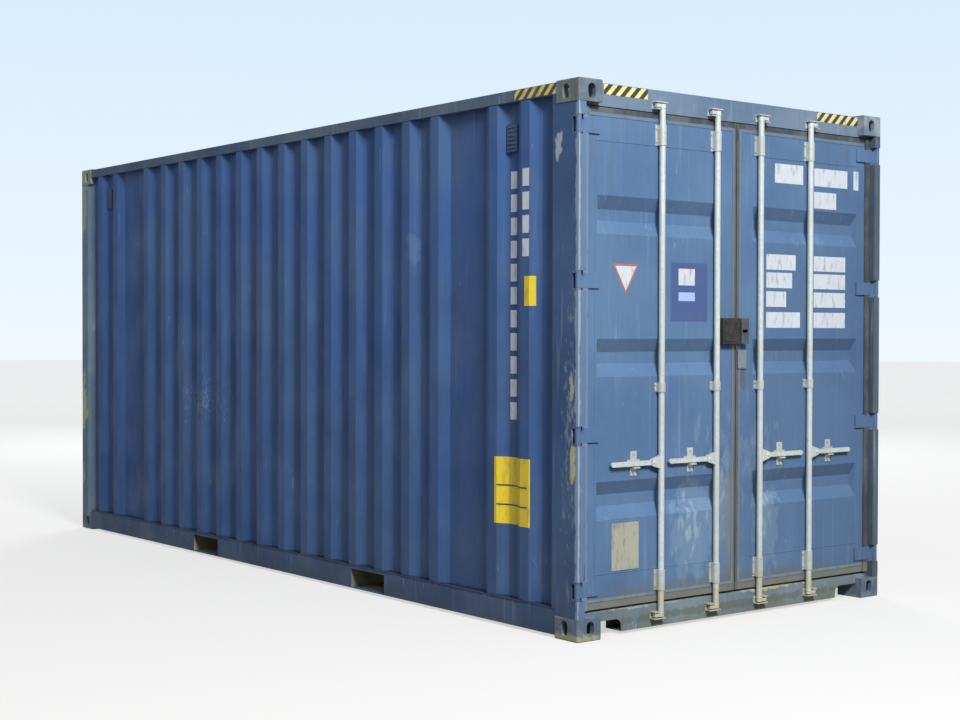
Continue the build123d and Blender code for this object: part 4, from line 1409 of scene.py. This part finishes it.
@dataclass
class StudioStage:
    """The plain floor, the pale backdrop, the soft lamps and the camera."""

    eye: Triple = (9.05, -6.572, 1.591)
    heading: float = math.radians(38.075)
    pitch: float = math.radians(-0.996)
    roll: float = math.radians(0.119)
    lens_mm: float = 59.11
    sensor_mm: float = 36
    view_end: float = 200
    floor_radius: float = 91.5
    floor_sides: int = 160
    floor_centre: Triple = (3.0, -1.0, 0.0)
    floor_near: str = "#8C8C8B"
    floor_far: str = "#D8D8D7"
    floor_fade: Pair = (4.0, 30.0)
    floor_bounce: str = "#5C5C5C"
    floor_tint: str = "#FFFEFC"
    floor_roughness: float = 0.95
    glow_fade: Pair = (4.0, 40.0)
    floor_glow: Pair = (0.6, 0.58)
    sky_low: str = "#EEF8FE"
    sky_high: str = "#D9EDFF"
    sky_rise: float = 0.2
    soft_tint: str = "#F1F4F8"
    soft_rise: float = 0.9
    soft_light: Pair = (0.165, 0.41)
    lamps: tuple[Lamp, ...] = (
        Lamp("key_lamp", (12.0, -3.9, 9.3), (2.5, -0.5, 1.2), 3.0, 1960.0),
        Lamp("side_lamp", (-1.0, -6.0, 7.0), (-0.5, -1.2, 2.0), 6.0, 28.0),
        Lamp("back_lamp", (-10.0, 8.0, 7.0), (-1.5, 0.5, 1.4), 5.0, 650.0),
    )

    def seen_share(self, tree: Tree) -> Socket:
        """Where the camera or a shiny surface looks, for what only they see of the stage.

        Args:
            tree: the tree that gets the nodes.

        Returns:
            1 for such a ray and 0 for the rest.
        """
        rays = add_node(tree, "ShaderNodeLightPath").outputs
        both = calculate(tree, "MAXIMUM", rays["Is Camera Ray"], rays["Is Glossy Ray"])
        return calculate(tree, "MAXIMUM", both, rays["Is Transmission Ray"])

    def build_camera(self) -> None:
        """Places the camera where the photograph was taken from."""
        camera = bpy.data.objects.new("camera", bpy.data.cameras.new("camera"))
        camera.data.sensor_width = self.sensor_mm
        camera.data.lens = self.lens_mm
        camera.data.clip_end = self.view_end
        ahead = Vector((
            -math.cos(self.heading) * math.cos(self.pitch),
            math.sin(self.heading) * math.cos(self.pitch),
            math.sin(self.pitch),
        ))
        turn = ahead.to_track_quat("-Z", "Y").to_matrix().to_4x4()
        roll = Matrix.Rotation(self.roll, 4, "Z")
        camera.matrix_world = Matrix.Translation(self.eye) @ turn @ roll
        bpy.context.scene.collection.objects.link(camera)
        bpy.context.scene.camera = camera

    def floor_material(self) -> bpy.types.Material:
        """Makes the floor's finish: pale where it is seen, darker where it lights the object.

        Returns:
            The material.
        """
        material = bpy.data.materials.new("studio_floor")
        material.use_nodes = True
        tree = material.node_tree
        shader = tree.nodes["Principled BSDF"]
        place = add_node(tree, "ShaderNodeTexCoord").outputs["Object"]
        centre = {"operation": "DISTANCE", 1: self.floor_centre}
        away = add_node(tree, "ShaderNodeVectorMath", centre, {0: place}).outputs["Value"]
        seen = mix_colours(tree, ramp(tree, away, self.floor_fade), self.floor_near, self.floor_far)
        shown = self.seen_share(tree)
        lit = mix_colours(tree, shown, self.floor_bounce, seen)
        tree.links.new(lit, shader.inputs["Base Color"])
        glow = calculate(tree, "MULTIPLY", ramp(tree, away, self.glow_fade, self.floor_glow), shown)
        tree.links.new(glow, shader.inputs["Emission Strength"])
        shader.inputs["Emission Color"].default_value = hex_to_linear(self.floor_tint)
        shader.inputs["Roughness"].default_value = self.floor_roughness
        return material

    def build_floor(self) -> None:
        """Lays the plain round floor under the castings, centred below the camera."""
        mesh = bmesh.new()
        spot = Matrix.Translation((self.eye[0], self.eye[1], 0))
        bmesh.ops.create_circle(mesh, cap_ends=True, segments=self.floor_sides,
                                radius=self.floor_radius, matrix=spot)
        data = bpy.data.meshes.new("studio_floor")
        mesh.to_mesh(data)
        mesh.free()
        data.materials.append(self.floor_material())
        floor = bpy.data.objects.new("studio_floor", data)
        bpy.context.scene.collection.objects.link(floor)

    def build_world(self) -> None:
        """A pale blue backdrop for the camera and metal, a soft neutral light for the rest."""
        world = bpy.data.worlds.new("studio")
        bpy.context.scene.world = world
        world.use_nodes = True
        tree = world.node_tree
        tree.nodes.clear()
        way = add_node(tree, "ShaderNodeTexCoord").outputs["Generated"]
        up = add_node(tree, "ShaderNodeSeparateXYZ", links={"Vector": way}).outputs["Z"]
        sky = mix_colours(tree, ramp(tree, up, (0.0, self.sky_rise)), self.sky_low, self.sky_high)
        strength = ramp(tree, up, (0.0, self.soft_rise), self.soft_light)
        tint = {"Color": hex_to_linear(self.soft_tint)}
        soft = add_node(tree, "ShaderNodeBackground", tint, {"Strength": strength})
        shown = add_node(tree, "ShaderNodeBackground", {"Strength": 1.0}, {"Color": sky})
        pair = {0: self.seen_share(tree), 1: soft.outputs[0], 2: shown.outputs[0]}
        both = add_node(tree, "ShaderNodeMixShader", links=pair)
        add_node(tree, "ShaderNodeOutputWorld", links={"Surface": both.outputs[0]})

    def build_lamps(self) -> None:
        """A broad key lamp high before the doors, a weak one above the long side and one behind."""
        for lamp in self.lamps:
            light = bpy.data.lights.new(lamp.name, "AREA")
            light.size = lamp.size
            light.energy = lamp.watts
            holder = bpy.data.objects.new(lamp.name, light)
            holder.location = lamp.spot
            way = Vector(lamp.target) - Vector(lamp.spot)
            holder.rotation_euler = way.to_track_quat("-Z", "Y").to_euler()
            bpy.context.scene.collection.objects.link(holder)

    def build(self) -> None:
        """Sets up the whole stage."""
        self.build_camera()
        self.build_floor()
        self.build_world()
        self.build_lamps()
        bpy.context.scene.view_settings.view_transform = "Standard"


def main() -> None:
    """Builds every sub-assembly in order."""
    logging.basicConfig(level=logging.INFO, format="%(message)s")
    finishes = Finishes()
    StudioStage().build()
    Bodywork(finishes).dress()
    for part in (SideFilms, SideFittings, DoorFilms, DoorFittings, BarFittings):
        part(finishes).build()


if __name__ == "__main__":
    main()
